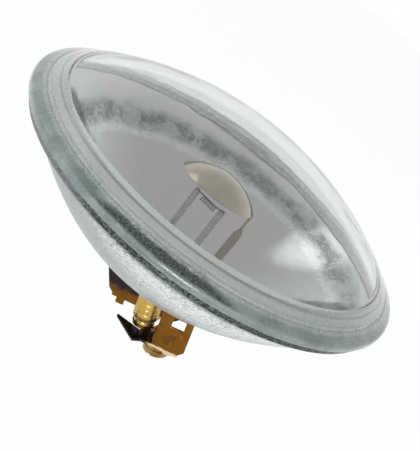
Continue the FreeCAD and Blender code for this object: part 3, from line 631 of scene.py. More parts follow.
def mirror_silver(colours):
    """Mirror film inside the bowl: softly uneven, with fine dark specks, a speckled dark ring near its edge that
    is partly a darkened edge and partly a painted reflection, and a painted highlight line inside the ring.
    """
    film = Finish("mirror_film")
    fine = film.noise(0.80 * MM, 5.0, 0.95)
    uneven = film.times(film.sum(fine, film.noise(11 * MM, 3.0, 0.6)), 3.5 * MM)
    away = film.sum(film.radius(*RING_CENTRE), uneven)
    # Dark ring near the film's edge: partly a darkened edge, partly a painted reflection
    ring = film.times(film.band(away, 45.4, 48.4, 49.4, 52.5),
                      film.span(film.noise(7 * MM, 4.0, 0.7), 0.42, 0.55, 0.45, 1.0),
                      film.span(fine, 0.44, 0.51, 0.30, 1.0))
    dark = film.sum(ring, film.span(fine, 0.68, 0.78, 0.0, 0.5), "MAXIMUM")
    # Painted highlight: a bright speckled line inside the dark ring
    glint = film.times(film.band(away, 43.6, 45.0, 45.4, 46.6), film.span(fine, 0.42, 0.62, 0.0, 0.7))
    tone = film.mix(glint, colours.silver, colours.film_painted_glint)
    film.surface(Base_Color=film.mix(dark, tone, colours.film_dark_and_reflection), Metallic=1.0,
                 Roughness=film.cloud(7 * MM, 3.0, 0.06, 0.12))
    return film.relief(film.noise(9 * MM, 2.0), 0.5 * MM, 0.25)


def aged_brass(name, colours, way, shade_start, shade_full, up, foot):
    """Aged brown brass sheet with dark stains, darker towards one side by painted shade, and a painted highlight
    along its lower fold.

    Along the first direction it turns from brown where the painted shade starts to black where it is full, in
    metres; along the upward one the painted highlight lies below the foot.
    """
    brass = Finish(name)
    patches = brass.span(brass.noise(4.5 * MM, 4.0, 0.6, distortion=0.6), 0.45, 0.80, 0.0, 0.55)
    # Painted shade: darker towards one side, from where it starts to where it is full
    side_shade = brass.span(brass.ragged(brass.along(way), 3 * MM, 4 * MM), shade_start + 2 * MM, shade_full + 2 * MM)
    tone = brass.mix(brass.sum(patches, side_shade, "MAXIMUM"), colours.brown_brass, colours.brass_stain_and_shade)
    worn = brass.span(brass.noise(1.1 * MM, 4.0, 0.7), 0.62, 0.74, 0.0, 0.5)
    tone = brass.mix(worn, tone, colours.tube_brass)
    low = brass.ragged(brass.along(up), 1.6 * MM, 0.6 * MM)
    # Painted highlight along the lower fold, weaker where the side is shaded
    fold_highlight = brass.times(brass.span(low, foot + 0.6 * MM, foot + 0.1 * MM), brass.span(side_shade, 0.0, 0.5, 0.85, 0.0))
    streaks = brass.noise(0.5 * MM, 3.0, 0.6, brass.stretch((1.0, 1.0, 5.0)))
    brass.surface(Base_Color=brass.mix(fold_highlight, tone, colours.fold_highlight_brass), Metallic=1.0,
                  Roughness=brass.span(streaks, *NOISE_RANGE, 0.24, 0.46))
    return brass.relief(brass.sum(brass.times(streaks, 0.25), brass.noise(1.2 * MM, 3.0)), 0.05 * MM, 0.6)


def golden_brass(colours):
    """Golden brass of the pumping tube, darker in the hollows."""
    brass = Finish("golden_brass")
    stain = brass.span(brass.noise(2.6 * MM, 4.0, 0.6), 0.48, 0.78, 0.0, 0.8)
    tone = brass.mix(stain, colours.tube_brass, colours.brown_brass)
    brass.surface(Base_Color=brass.mix(brass.hollows(0.42, 0.485, 0.7), tone, colours.brass_stain_and_shade),
                  Metallic=1.0, Roughness=brass.cloud(0.9 * MM, 3.0, 0.22, 0.42))
    return brass.relief(brass.noise(0.7 * MM, 3.0), 0.06 * MM, 0.5)


def pale_brass(colours):
    """Plated screws and washers: pale, and darker in the grooves."""
    brass = Finish("pale_screw_brass")
    stain = brass.span(brass.noise(1.8 * MM, 4.0, 0.65), 0.38, 0.66, 0.0, 0.9)
    tone = brass.mix(stain, colours.screw_brass, colours.brown_brass)
    brass.surface(Base_Color=brass.mix(brass.hollows(0.43, 0.498, 0.95), tone, colours.brass_stain_and_shade),
                  Metallic=1.0, Roughness=brass.cloud(0.7 * MM, 3.0, 0.18, 0.36))
    return brass.relief(brass.noise(0.6 * MM, 3.0), 0.05 * MM, 0.5)


def washer_shadow_brass(colours):
    """Painted shadow on the washers' end faces, under the web and over the head, mottled."""
    brass = Finish("washer_painted_shadow_brass")
    stain = brass.span(brass.noise(1.2 * MM, 4.0, 0.65), 0.35, 0.65)
    brass.surface(Base_Color=brass.mix(stain, colours.brown_brass, colours.brass_stain_and_shade), Metallic=1.0,
                  Roughness=brass.cloud(0.7 * MM, 3.0, 0.30, 0.5))
    return brass.relief(brass.noise(0.6 * MM, 3.0), 0.05 * MM, 0.5)


def darker(colour_in, share):
    """A colour times a share."""
    return [value * share for value in colour_in]


def shield_metal(colours):
    """Warm satin metal of the shield, with faint drawing marks."""
    metal = Finish("shield_satin_metal")
    tone = metal.mix(metal.cloud(6 * MM), colours.inner_metal, darker(colours.inner_metal, 0.90))
    metal.surface(Base_Color=tone, Metallic=1.0, Roughness=metal.cloud(0.5 * MM, 2.0, 0.16, 0.24, 0.5))
    return metal.relief(metal.noise(2.5 * MM, 3.0), 0.05 * MM, 0.3)


def nickel(colours):
    """Dull drawn nickel of the lead posts."""
    wire = Finish("post_nickel")
    tone = wire.mix(wire.noise(2.5 * MM, 3.0), colours.post_metal, darker(colours.post_metal, 0.85))
    wire.surface(Base_Color=tone, Metallic=1.0, Roughness=wire.cloud(0.8 * MM, 2.0, 0.24, 0.32))
    return wire.relief(wire.noise(1.2 * MM, 2.0), 0.01 * MM, 0.3)


def tungsten(colours):
    """Grey drawn tungsten of the filament."""
    wire = Finish("filament_tungsten")
    tone = wire.mix(wire.noise(0.3 * MM), darker(colours.post_metal, 0.9), darker(colours.post_metal, 0.6))
    wire.surface(Base_Color=tone, Metallic=1.0, Roughness=wire.cloud(0.2 * MM, 3.0, 0.45, 0.60))
    return wire.relief(wire.noise(0.15 * MM), 0.01 * MM)


def dull_metal(name, colours, grain):
    """Solder and ferrule metal: grey, mottled and softly lumpy."""
    metal = Finish(name)
    dark = darker(colours.solder, 0.55)
    tone = metal.mix(metal.cloud(grain, 4.0, rough=0.6), colours.solder, dark)
    metal.surface(Base_Color=metal.mix(metal.hollows(0.44, 0.495, 0.6), tone, dark), Metallic=1.0,
                  Roughness=metal.cloud(grain * 0.4, 3.0, 0.35, 0.58))
    return metal.relief(metal.noise(grain * 0.7, 3.0), grain * 0.06, 0.6)


# Glass

def lens_profile(glass):
    """Section of the lens: dome, step, shoulder and rim outside, dome inside."""
    ease = 0.35 * MM
    seat = 0.02 * MM
    outer = arc((0.0, glass.dome_top), (glass.dome_radius, glass.dome_foot), 72)
    inner_edge = glass.bowl_radius - glass.bowl_rim_width
    corners = rounded([
        (*outer[-2], 0.0),
        (glass.dome_radius, glass.dome_foot, 1.2 * MM),
        (glass.step_radius, glass.step_height, 0.35 * MM),
        (glass.step_radius + 0.35 * MM, glass.shoulder_height - 0.25 * MM, 0.25 * MM),
        (glass.shoulder_radius + 0.25 * MM, glass.shoulder_height - 0.12 * MM, 0.35 * MM),
        (glass.rim_radius - 1.2 * MM, glass.rim_height + 0.57 * MM, 0.9 * MM),
        (glass.rim_radius, glass.rim_height - 0.1 * MM, 1.0 * MM),
        (glass.rim_radius, seat, ease),
        (inner_edge, seat, ease),
        (glass.lens_inner_radius, glass.lens_inner_foot, 0.8 * MM),
    ], 6)[:-1]
    inner_top = glass.dome_top - glass.lens_wall
    inner = arc((0.0, inner_top), (glass.lens_inner_radius, glass.lens_inner_foot), 60)[::-1][1:]
    centre = np.array([[0.0, glass.dome_top]])
    return np.vstack((centre, outer[:-2], corners, inner, [[0.0, inner_top]]))


class BULB_OT_lens(Operator):
    """Clear domed lens with its stepped rim"""

    bl_idname = "bulb.lens"
    bl_label = "Lens"

    def execute(self, context):
        glass, _, _, colours = sizes(context)
        lens = spun("lens_glass", lens_profile(glass), 256)
        settle(smooth(lens, 40), "base", "clear_glass", ["lens"], lens_glass(colours), rim_glass(colours))

        def frosted(x, y, z):
            """Outside of the dome's foot, step, shoulder and rim, and the inner slant on the far side."""
            r = np.hypot(x, y)
            # The far side's inner slant takes the rim material so that its painted highlight shows there
            far = FAR_SIDE[0] * x + FAR_SIDE[1] * y > FAR_START
            above, outside = z > glass.lens_inner_foot + 0.5 * MM, r > glass.step_radius - 0.7 * MM
            return (r > glass.dome_radius - 0.6 * MM) & (above | far | outside)

        second_finish(lens, frosted)
        return {"FINISHED"}


def bowl_depth_at(r, radius, depth, power):
    """Depth of the bowl's curve: depth times one minus (r over radius) to the power."""
    return -depth * (1.0 - (r / radius) ** power)


class BULB_OT_bowl(Operator):
    """Glass bowl, silvered: mirror inside, frosty outside, with a boss under each ferrule"""

    bl_idname = "bulb.bowl"
    bl_label = "Reflector bowl"

    def execute(self, context):
        glass, inside, _, colours = sizes(context)
        inner_radius = glass.bowl_radius - glass.bowl_rim_width
        inner_depth = glass.bowl_depth - glass.bowl_wall
        band = glass.bowl_radius * (1 - glass.bowl_rim_depth / glass.bowl_depth) ** (1 / glass.bowl_power)
        r = np.linspace(0.0, 1.0, 72)
        outer = np.column_stack((r * band, bowl_depth_at(r * band, glass.bowl_radius, glass.bowl_depth,
                                                         glass.bowl_power)))
        inner = np.column_stack((r * inner_radius,
                                 bowl_depth_at(r * inner_radius, inner_radius, inner_depth,
                                               glass.bowl_power)))[::-1]
        rim = rounded([
            (band, -glass.bowl_rim_depth, 0.25 * MM),
            (glass.bowl_radius, -glass.bowl_rim_depth, 0.5 * MM),
            (glass.bowl_radius, 0.0, 0.2 * MM),
            (inner_radius, 0.0, 0.2 * MM),
        ], 5)[1:]
        bowl = spun("reflector_bowl_glass", np.vstack((outer[:-1], rim, inner[1:])), 256)
        settle(smooth(bowl, 30), "base", "silvered_glass", ["reflector_bowl"],
               bowl_silver(colours), mirror_silver(colours))

        def mirrored(x, y, z):
            """Inner side of the bowl: inside its edge and no further back than the inner curve."""
            r = np.hypot(x, y)
            inner_z = bowl_depth_at(r, inner_radius, inner_depth, glass.bowl_power)
            return (r < inner_radius) & (z > inner_z - 0.3 * MM)

        second_finish(bowl, mirrored)

        foot = -glass.boss_depth
        profile = np.vstack(([[0.0, foot + 4.0 * MM]], rounded([
            (glass.boss_radius + 1.6 * MM, foot + 4.0 * MM, 0.0),
            (glass.boss_radius + 0.35 * MM, foot + 1.0 * MM, 1.2 * MM),
            (glass.boss_radius, foot, 0.35 * MM),
            (0.0, foot, 0.0),
        ])))
        for side, turn in SIDES:
            boss = smooth(spun(f"glass_boss_{side}", profile, 96, post_place(inside, turn)), 40)
            settle(boss, "base", "silvered_glass", ["reflector_bowl"], bpy.data.materials["frosty_silver"])
        return {"FINISHED"}


# Inside the bowl

def turned_about_axis(points, azimuth):
    """Points turned about the beam axis."""
    return moved(points, Matrix.Rotation(azimuth, 4, "Z"))


class BULB_OT_leads(Operator):
    """Two bent lead posts and the coiled filament between them"""

    bl_idname = "bulb.leads"
    bl_label = "Leads and filament"

    def execute(self, context):
        _, inside, _, colours = sizes(context)
        bright = nickel(colours)
        level = -inside.filament_depth
        bend, offset = inside.lead_bend, inside.lead_offset
        riser = inside.lead_gap / 2 + inside.lead_radius
        low, top = -inside.lead_level, level + inside.lead_radius
        t = np.linspace(0.0, math.pi / 2, 10)
        up = np.linspace(-inside.lead_foot, low - bend, 8)[:-1]
        rise = np.linspace(low + bend, top, 10)[1:]
        path = np.vstack((
            np.column_stack((np.full_like(up, offset), up)),
            np.column_stack((offset - bend + bend * np.cos(t), low - bend + bend * np.sin(t))),
            np.column_stack((riser + bend - bend * np.sin(t), low + bend - bend * np.cos(t))),
            np.column_stack((np.full_like(rise, riser), rise)),
        ))
        path = np.stack((path[:, 0], np.zeros(len(path)), path[:, 1]), axis=-1)
        tip_share = 0.86
        for side, turn in SIDES:
            azimuth = inside.lead_azimuth + turn
            beside = (-math.sin(azimuth), math.cos(azimuth), 0.0)
            radius = np.full(len(path), inside.lead_radius)
            radius[-1] *= tip_share
            post = tube_along(f"lead_wire_{side}", turned_about_axis(path, azimuth), radius, beside, 28)
            settle(smooth(post, 40), "base", "inner_metal", [f"lead_post_{side}"], bright)

        turns, coil = inside.coil_turns, inside.coil_radius
        half = inside.lead_gap / 2 - inside.coil_leg
        a = np.linspace(0.0, 2 * math.pi * turns, 28 * turns + 1)
        x = np.linspace(-half, half, len(a))
        helix = np.column_stack((x, coil * np.sin(a), level + coil * np.cos(a)))
        legs = np.linspace(inside.lead_gap / 2, half, 6)[:-1]
        leg = np.column_stack((legs, legs * 0, np.full_like(legs, level + coil)))
        wire = np.vstack((leg * (-1, 1, 1), helix, leg[::-1]))
        slant = turned_about_axis(np.array([[0.707, 0.0, 0.707]]), inside.lead_azimuth)[0]
        filament = tube_along("filament_coil", turned_about_axis(wire, inside.lead_azimuth),
                              inside.coil_wire, slant, 10)
        settle(smooth(filament, 60), "base", "inner_metal", ["filament"], tungsten(colours))
        return {"FINISHED"}


class BULB_OT_shield(Operator):
    """Domed shield over the filament, with the strap that carries it"""

    bl_idname = "bulb.shield"
    bl_label = "Filament shield"

    def execute(self, context):
        _, inside, _, colours = sizes(context)
        satin = shield_metal(colours)
        sheet, edge = inside.shield_sheet, -inside.cap_edge
        top = edge + inside.cap_height
        outer = arc((0.0, top), (inside.cap_radius, edge), 30)
        inner = arc((0.0, top - sheet), (inside.cap_radius - sheet, edge), 30)
        lip = np.linspace(0.0, 1.0, 5)[1:-1, None]
        round_lip = outer[-1] * (1 - lip) + inner[-1] * lip
        round_lip[:, 1] -= 0.18 * MM * np.sin(math.pi * lip[:, 0])
        profile = np.vstack(([[0.0, top]], outer, round_lip, inner[::-1], [[0.0, top - sheet]]))
        hinge = Matrix.Translation((0.0, 0.0, edge))
        lean = hinge @ Matrix.Rotation(-inside.cap_tilt, 4, "X") @ hinge.inverted()
        cap = smooth(spun("shield_dome", profile, 128, frame_matrix=lean), 50)
        settle(cap, "base", "inner_metal", ["shield_cap"], satin)

        rows, columns = 40, 7
        z = np.linspace(0.0, 1.0, rows)
        neck_end, post_start, toe_start, ramp = 0.17, 0.88, 0.93, 0.12
        widen = 1 / (1 + np.exp(-(z - neck_end) * 90))
        half = (inside.strap_neck + (inside.strap_width - inside.strap_neck) * widen) / 2
        close = np.clip((z - toe_start) / (1 - toe_start), 0.0, 1.0)
        half = half * np.sqrt(np.clip(1.0 - (0.8 * close) ** 2, 0.0, 1.0))
        y = half[:, None] * np.linspace(-1.0, 1.0, columns)[None]
        level = np.repeat((edge - 0.02 * MM - z * inside.strap_length)[:, None], columns, axis=1)
        past_neck = np.clip((z - neck_end) / ramp, 0.0, 1.0)
        to_post = np.clip((post_start - z) / ramp, 0.0, 1.0)
        twist = (inside.strap_twist * np.sin(past_neck * math.pi / 2) * np.sin(to_post * math.pi / 2))[:, None]
        x = inside.cap_radius + y * np.sin(twist)
        y = y * np.cos(twist)
        face = turned_about_axis(np.stack((x, y, level), axis=-1).reshape(-1, 3), inside.lead_azimuth)
        strap = sheet_from_grid("shield_strap_sheet", face.reshape(rows, columns, 3), sheet, bevel=0.08 * MM,
                                towards=(math.cos(inside.lead_azimuth), math.sin(inside.lead_azimuth), 0.0))
        settle(smooth(strap, 40), "base", "inner_metal", ["shield_strap"], satin)
        return {"FINISHED"}


# Terminals

def node_copy(name, node, ease):
    """A CAD node's mesh merged into whole faces, with its edges eased by a bevel."""
    piece = bpy.data.objects.new(name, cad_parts[node].data.copy())
    bpy.context.scene.collection.objects.link(piece)
    shape = bmesh.new()
    shape.from_mesh(piece.data)
    bmesh.ops.remove_doubles(shape, verts=shape.verts, dist=2e-6)
    bmesh.ops.dissolve_limit(shape, angle_limit=math.radians(1.0), verts=shape.verts, edges=shape.edges)
    bmesh.ops.recalc_face_normals(shape, faces=shape.faces)
    shape.to_mesh(piece.data)
    shape.free()
    bevel = piece.modifiers.new("Eased edges", "BEVEL")
    bevel.width = ease
    bevel.segments = 3
    bevel.limit_method = "ANGLE"
    bevel.angle_limit = math.radians(40)
    return piece


def tube_profile(t):
    """Section of the exhaust tube: closed bulge, neck, sleeve with fine grooves, and tube."""
    bore = t.tube_radius * 0.72
    sleeve_top = t.sleeve_foot + t.sleeve_height
    pitch, middle, width, depth = 1.7 * MM, 0.65 * MM, 0.16 * MM, 0.07 * MM
    rise = np.linspace(t.sleeve_foot + 0.7 * MM, sleeve_top - 0.5 * MM, 84)
    groove = depth * np.exp(-((np.mod(rise, pitch) - middle) / width) ** 2)
    body = rounded([
        (t.bulge_radius, 0.0, 1.7 * MM),
        (t.bulge_radius, t.bulge_height, 1.2 * MM),
        (t.tube_radius, t.bulge_height + 0.1 * MM, 0.35 * MM),
        (t.tube_radius, t.sleeve_foot, 0.35 * MM),
        (t.sleeve_radius, t.sleeve_foot, 0.5 * MM),
    ], 6)
    top = rounded([
        (t.sleeve_radius - 0.1 * MM, sleeve_top, 0.4 * MM),
        (t.tube_radius, sleeve_top, 0.3 * MM),
        (t.tube_radius, t.tube_length, 0.0),
        (bore, t.tube_length, 0.0),
        (0.0, t.tube_length * 0.5, 0.0),
        (0.0, 0.0, 0.0),
    ], 6)
    grooved = np.column_stack((t.sleeve_radius - 0.02 * MM - groove, rise))
    return np.vstack((body, grooved, top))


def nut_wobble(flats, height):
    """Six flats from a turned profile, with the corners taken off by a 30 degree cone.

    Where the profile is at the corners' radius, the radius at angle a is half the flats' width
    over the cosine of the angle to the nearest flat's middle; each end drops with it.
    """
    def shape(r, z, a):
        away = np.mod(a, math.pi / 3) - math.pi / 6
        outline = flats / 2 / np.cos(away)
        side = r > flats / 2
        fall = (outline - flats / 2) * math.tan(math.radians(30)) + 0.05 * MM
        z = np.where(side, np.where(z > height / 2, z - fall, z + fall), z)
        return np.where(side, outline, r), z
    return shape


def slotted_head(name, radius, side, crown, width, depth, turn, matrix):
    """Screw head with a slot, its flat face at level 0 and its crown below.

    The head is a closed loop carried across the slot. At distance x from the middle the loop is
    as long as the circle's chord there, twice the root of radius squared less x squared; its
    lower side follows the crown, a shallow bowl of the radius, and inside the slot's width it
    stands at the slot's floor.
    """
    half = width / 2
    edge = 0.08 * MM
    steps = np.linspace(math.asin(half / radius), math.pi / 2, 18)
    right = radius * np.sin(steps)
    right[0] = half + edge
    x = np.concatenate((-right[::-1], [-half, -half], [half, half], right))
    inside = np.zeros(len(x), bool)
    middle = len(right)
    inside[middle + 1:middle + 3] = True
    chord = np.sqrt(np.clip(radius**2 - x**2, 0.0, None))
    columns, ease, ease_start = 25, 0.45 * MM, 0.9
    y = chord[:, None] * np.linspace(-1.0, 1.0, columns)[None]
    reach = np.sqrt(x[:, None] ** 2 + y**2) / radius
    bowl = side + crown * (1 - reach**2)
    bowl = bowl - ease * np.clip((reach - ease_start) / (1 - ease_start), 0.0, 1.0) ** 2
    at_edge = np.isclose(np.abs(x), half) & ~inside
    bowl = np.where(at_edge[:, None], bowl - edge * 0.5, bowl)
    floor = side + crown - depth
    low = np.where(inside[:, None], floor, bowl)
    under = np.stack((np.repeat(x[:, None], columns, 1), y, -low), axis=-1)
    top = np.stack((np.repeat(x[:, None], 2, 1), chord[:, None] * np.array([1.0, -1.0]),
                    np.zeros((len(x), 2))), axis=-1)
    loop = np.concatenate((under, top), axis=1)
    points = moved(loop.reshape(-1, 3), matrix @ Matrix.Rotation(turn + math.pi / 2, 4, "Z"))
    return to_mesh(name, points, grid_quads(len(x), loop.shape[1], False, True), 1e-6)


class BULB_OT_brackets(Operator):
    """Two folded brass brackets"""

    bl_idname = "bulb.brackets"
    bl_label = "Brackets"

    def execute(self, context):
        _, _, t, colours = sizes(context)
        across, up = lean_axes(t.lean)
        edge, foot = np.dot(t.near_corner, across), np.dot(t.near_corner, up)
        # Painted shade darkens the near bracket past its plate's inner edge, and the far one towards the bowl
        near = aged_brass("browned_brass_near", colours, across, edge - 0.5 * MM, edge - 3.5 * MM, up, foot)
        foot = np.dot(t.far_corner, up)
        far = aged_brass("browned_brass_far", colours, up, foot + 1.0 * MM, foot + 3.6 * MM, up,
                         foot - 9.0 * MM)
        for side, brass in (("near", near), ("far", far)):
            piece = node_copy(f"bracket_sheet_{side}", f"bracket_{side}", 0.22 * MM)
            settle(smooth(piece, 35), "base", "terminal_brass", [f"bracket_{side}"], brass)
        return {"FINISHED"}


class BULB_OT_tube(Operator):
    """Sealed brass exhaust tube with its sleeve and bulge"""

    bl_idname = "bulb.tube"
    bl_label = "Exhaust tube"

    def execute(self, context):
        _, _, t, colours = sizes(context)
        matrix = terminal_frame(t.near_corner, t.lean)
        matrix = matrix @ Matrix.Translation((t.tube_across, t.tube_back, t.tube_end))
        tube = smooth(spun("exhaust_tube_brass", tube_profile(t), 96, frame_matrix=matrix), 35)
        settle(tube, "base", "tube_brass", ["exhaust_tube"], golden_brass(colours))
        return {"FINISHED"}


class BULB_OT_seals(Operator):
    """Ferrules on the glass bosses, with a bead of solder round each"""

    bl_idname = "bulb.seals"
    bl_label = "Ferrules and solder"

    def execute(self, context):
        _, inside, t, colours = sizes(context)
        ferrule_metal = dull_metal("ferrule_metal", colours, 1.6 * MM)
        solder_metal = dull_metal("solder_metal", colours, 0.9 * MM)
        foot = -t.foot_level
        top = foot + t.ferrule_height
        ferrule = rounded([
            (0.0, foot, 0.0),
            (t.ferrule_radius, foot, 0.18 * MM),
            (t.ferrule_radius, foot + 0.45 * t.ferrule_height, 0.1 * MM),
            (t.ferrule_radius - 0.12 * MM, foot + 0.55 * t.ferrule_height, 0.1 * MM),
            (t.ferrule_radius - 0.12 * MM, foot + 0.7 * t.ferrule_height, 0.1 * MM),
            (t.ferrule_radius, foot + 0.8 * t.ferrule_height, 0.1 * MM),
            (t.ferrule_radius, top, 0.15 * MM),
            (0.0, top, 0.0),
        ])
        inner = t.ferrule_radius + 0.02 * MM
        s = np.linspace(0.0, 1.0, 16)
        bead = np.column_stack((inner + t.solder_width * (1 - s**1.6),
                                foot + t.solder_height * np.sin(s * math.pi / 2)))
        bead = np.vstack(([[inner, foot]], bead))

        def lumps(r, z, a):
            """Bead narrowed and lowered by slow waves round the ring."""
            wave = 0.88 + 0.06 * np.sin(3 * a + 0.7) + 0.04 * np.sin(7 * a + 2.0) + 0.02 * np.sin(13 * a)
            return inner + (r - inner) * wave, foot + (z - foot) * wave

        for side, turn in SIDES:
            centre = post_place(inside, turn)
            ring = smooth(spun(f"ferrule_ring_{side}", ferrule, 96, centre), 35)
            settle(ring, "base", "ferrule_metal", [f"ferrule_{side}"], ferrule_metal)
            seal = smooth(spun(f"solder_bead_{side}", bead, 128, centre, wobble=lumps), 50)
            settle(seal, "base", "solder_metal", [f"solder_{side}"], solder_metal)
        return {"FINISHED"}


class BULB_OT_fasteners(Operator):
    """Clinch nuts, clamp washers and slotted screws of both terminals"""

    bl_idname = "bulb.fasteners"
    bl_label = "Screws, washers and nuts"

    def execute(self, context):
        _, _, t, colours = sizes(context)
        pale, washer_shadow = pale_brass(colours), washer_shadow_brass(colours)
        up = lean_axes(t.lean)[1]
        nut_edge = t.nut_flats / 2 / math.cos(math.pi / 6)
        bore = t.shank_radius + 0.05 * MM
        nut_profile = np.array([
            (bore, 0.25 * MM), (bore + 0.25 * MM, 0.0), (t.nut_flats / 2 - 0.1 * MM, 0.0),
            (nut_edge, 0.0), (nut_edge, t.nut_height), (t.nut_flats / 2 - 0.1 * MM, t.nut_height),
            (bore + 0.25 * MM, t.nut_height), (bore, t.nut_height - 0.25 * MM),
        ])
        hole = t.shank_radius + t.loose
        washer_profile = rounded([
            (hole, -t.washer_dish, 0.15 * MM),
            (t.washer_radius - t.washer_rim, -t.washer_dish, 0.2 * MM),
            (t.washer_radius - t.washer_rim + t.washer_dish, 0.0, 0.12 * MM),
            (t.washer_radius, 0.0, 0.15 * MM),
            (t.washer_radius, -t.washer_height, 0.4 * MM),
            (hole, -t.washer_height, 0.15 * MM),
        ])
        washer_top = -t.sheet - t.seat_gap
        head_top = washer_top - t.washer_height - t.seat_gap
        end = t.shank_top - head_top
        steps = np.linspace(0.3 * MM, end - 0.45 * MM, int((end / t.thread_pitch) * 12))
        shank = np.vstack(([[0.0, -0.3 * MM], [t.shank_radius * 0.9, -0.3 * MM]],
                           np.column_stack((np.full_like(steps, t.shank_radius), steps)),
                           [[t.shank_radius * 0.8, end], [0.0, end]]))

        def thread(r, z, a):
            """Radius lowered by a triangle wave of level less angle, one wave a turn."""
            wave = np.abs(2 * np.mod(z / t.thread_pitch - a / (2 * math.pi), 1.0) - 1.0)
            return np.where(np.isclose(r, t.shank_radius), r - 0.28 * MM * wave, r), z

        for side, corner, way in (("near", t.near_corner, 1.0), ("far", t.far_corner, -1.0)):
            local = terminal_frame(corner, t.lean) @ Matrix.Translation((way * t.screw_across,
                                                                         t.screw_back, 0.0))
            nut = spun(f"clinch_nut_{side}", nut_profile, 96, frame_matrix=local,
                       wobble=nut_wobble(t.nut_flats, t.nut_height))
            settle(smooth(nut, 24), "base", "screw_brass", [f"nut_{side}"], pale)
            at_washer = local @ Matrix.Translation((0.0, 0.0, washer_top))
            washer = spun(f"clamp_washer_{side}", washer_profile, 128, frame_matrix=at_washer)
            settle(smooth(washer, 35), f"clamp_{side}", "screw_brass", [f"washer_{side}"], pale, washer_shadow)
            washer_level = np.dot(corner, up) + washer_top

            def shaded(x, y, z):
                """Faces at the washer's two ends, which take the painted shadow."""
                level = x * up[0] + z * up[2] - washer_level
                return (level > -0.12 * MM) | (level < -t.washer_height + 0.38 * MM)

            second_finish(washer, shaded)
            at_head = local @ Matrix.Translation((0.0, 0.0, head_top))
            head = slotted_head(f"screw_head_{side}", t.head_radius, t.head_side, t.head_crown,
                                t.slot_width, t.slot_depth, t.slot_angle, at_head)
            settle(smooth(head, 35), f"screw_{side}_body", "screw_brass", [f"screw_{side}"], pale)
            rod = spun(f"screw_shank_{side}", shank, 72, frame_matrix=at_head, wobble=thread)
            settle(smooth(rod, 60), f"screw_{side}_body", "screw_brass", [f"screw_{side}"], pale)
        return {"FINISHED"}


# Stage

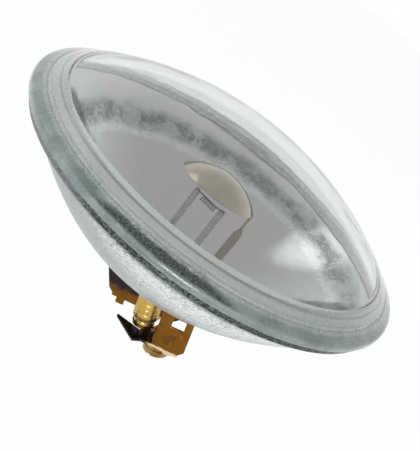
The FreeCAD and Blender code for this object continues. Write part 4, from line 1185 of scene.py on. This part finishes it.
class BULB_OT_stage(Operator):
    """Pale floor, soft lights, white backdrop and the camera"""

    bl_idname = "bulb.stage"
    bl_label = "Floor, lights and camera"

    def execute(self, context):
        scene = context.scene
        stage = scene.bulb_stage
        side = np.linspace(-3.0, 3.0, 5)
        x, y = np.meshgrid(side, side, indexing="ij")
        points = np.stack((x, y, np.full_like(x, stage.floor_level)), axis=-1).reshape(-1, 3)
        floor = to_mesh("floor", points, grid_quads(5, 5), recalculate=False)
        self.paint_floor(floor)
        self.paint_world(scene)

        for lamp in LAMPS:
            self.lamp(*lamp)

        camera = bpy.data.objects.new("camera", bpy.data.cameras.new("camera"))
        scene.collection.objects.link(camera)
        camera.data.lens = stage.camera_lens
        camera.data.sensor_width = 36.0
        camera.data.sensor_fit = "AUTO"
        camera.data.clip_start = 0.005
        camera.data.clip_end = 20.0
        ahead = (0.0, math.cos(stage.camera_pitch), -math.sin(stage.camera_pitch))
        level_up = (0.0, math.sin(stage.camera_pitch), math.cos(stage.camera_pitch))
        right = (1.0, 0.0, 0.0)
        turn = Matrix((right, level_up, tuple(-value for value in ahead))).transposed().to_4x4()
        roll = Matrix.Rotation(stage.camera_roll, 4, "Z")
        camera.matrix_world = Matrix.Translation(stage.camera_place) @ turn @ roll
        scene.camera = camera
        scene.view_settings.view_transform = "Standard"
        return {"FINISHED"}

    def paint_floor(self, floor):
        """Pale matt floor that camera, mirror and glass see as white, with shadows kept."""
        paper = Finish("pale_floor")
        paper.surface(Base_Color=paper.mix(paper.cloud(20 * MM), *FLOOR_TONES), Roughness=0.8)
        rays = paper.node("LightPath").outputs
        seen = paper.sum(rays["Is Camera Ray"], rays["Is Glossy Ray"], "MAXIMUM")
        seen = paper.sum(seen, rays["Is Transmission Ray"], "MAXIMUM")
        join = paper.node("MixShader", {0: paper.times(seen, WHITE_SHARE), 1: paper.shader.outputs[0],
                                        2: paper.node("Emission").outputs[0]})
        paper.put(paper.output.inputs["Surface"], join.outputs[0])
        floor.data.materials.append(paper.material)

    def paint_world(self, scene):
        """Backdrop: white to the camera, and to mirrors white near the horizon, grey overhead."""
        scene.world = bpy.data.worlds.new("studio")
        scene.world.use_nodes = True
        sky = Nodes(scene.world.node_tree)
        where = sky.node("TexCoord").outputs["Generated"]
        tone = sky.mix(sky.span(sky.part(where, "Z"), 0.25, 0.85), *SKY_TONES)
        for way, low, high, level in SKY_PATCHES:
            tone = sky.mix(sky.span(sky.dot(where, way), low, high), tone, (level, level, level))
        camera_ray = sky.node("LightPath").outputs["Is Camera Ray"]
        sky.put(sky.tree.nodes["Background"].inputs["Color"], sky.mix(camera_ray, tone, (1.0, 1.0, 1.0)))

    def lamp(self, name, place, power, size, mirrored):
        """Round soft light aimed at the lamp's middle."""
        data = bpy.data.lights.new(name, "AREA")
        data.shape = "DISK"
        data.size = size
        data.energy = power
        thing = bpy.data.objects.new(name, data)
        thing.visible_glossy = mirrored
        thing.visible_transmission = mirrored
        bpy.context.scene.collection.objects.link(thing)
        thing.rotation_mode = "QUATERNION"
        thing.rotation_quaternion = Vector(place).to_track_quat("Z", "Y")
        thing.location = place


class BULB_PT_bulb(Panel):
    """Lists the pieces of the bulb"""

    bl_idname = "BULB_PT_bulb"
    bl_label = "Spotlight bulb"
    bl_space_type = "VIEW_3D"
    bl_region_type = "UI"
    bl_category = "Bulb"

    def draw(self, context):
        for operator in PIECES:
            self.layout.operator(operator.bl_idname)


GROUPS = {
    "bulb_glass": BulbGlass,
    "bulb_inside": BulbInside,
    "bulb_terminals": BulbTerminals,
    "bulb_colours": BulbColours,
    "bulb_stage": BulbStage,
}
PIECES = (BULB_OT_lens, BULB_OT_bowl, BULB_OT_leads, BULB_OT_shield, BULB_OT_brackets, BULB_OT_tube,
          BULB_OT_seals, BULB_OT_fasteners, BULB_OT_stage)


def register():
    for group in GROUPS.values():
        bpy.utils.register_class(group)
    for name, group in GROUPS.items():
        setattr(bpy.types.Scene, name, PointerProperty(type=group))
    for piece in (*PIECES, BULB_PT_bulb):
        bpy.utils.register_class(piece)


def unregister():
    for piece in reversed((*PIECES, BULB_PT_bulb)):
        bpy.utils.unregister_class(piece)
    for name in GROUPS:
        delattr(bpy.types.Scene, name)
    for group in reversed(list(GROUPS.values())):
        bpy.utils.unregister_class(group)


def main():
    """Build every piece and the stage."""
    register()
    for piece in PIECES:
        family, name = piece.bl_idname.split(".")
        getattr(getattr(bpy.ops, family), name)()
    bpy.context.view_layer.update()


if __name__ == "__main__":
    main()
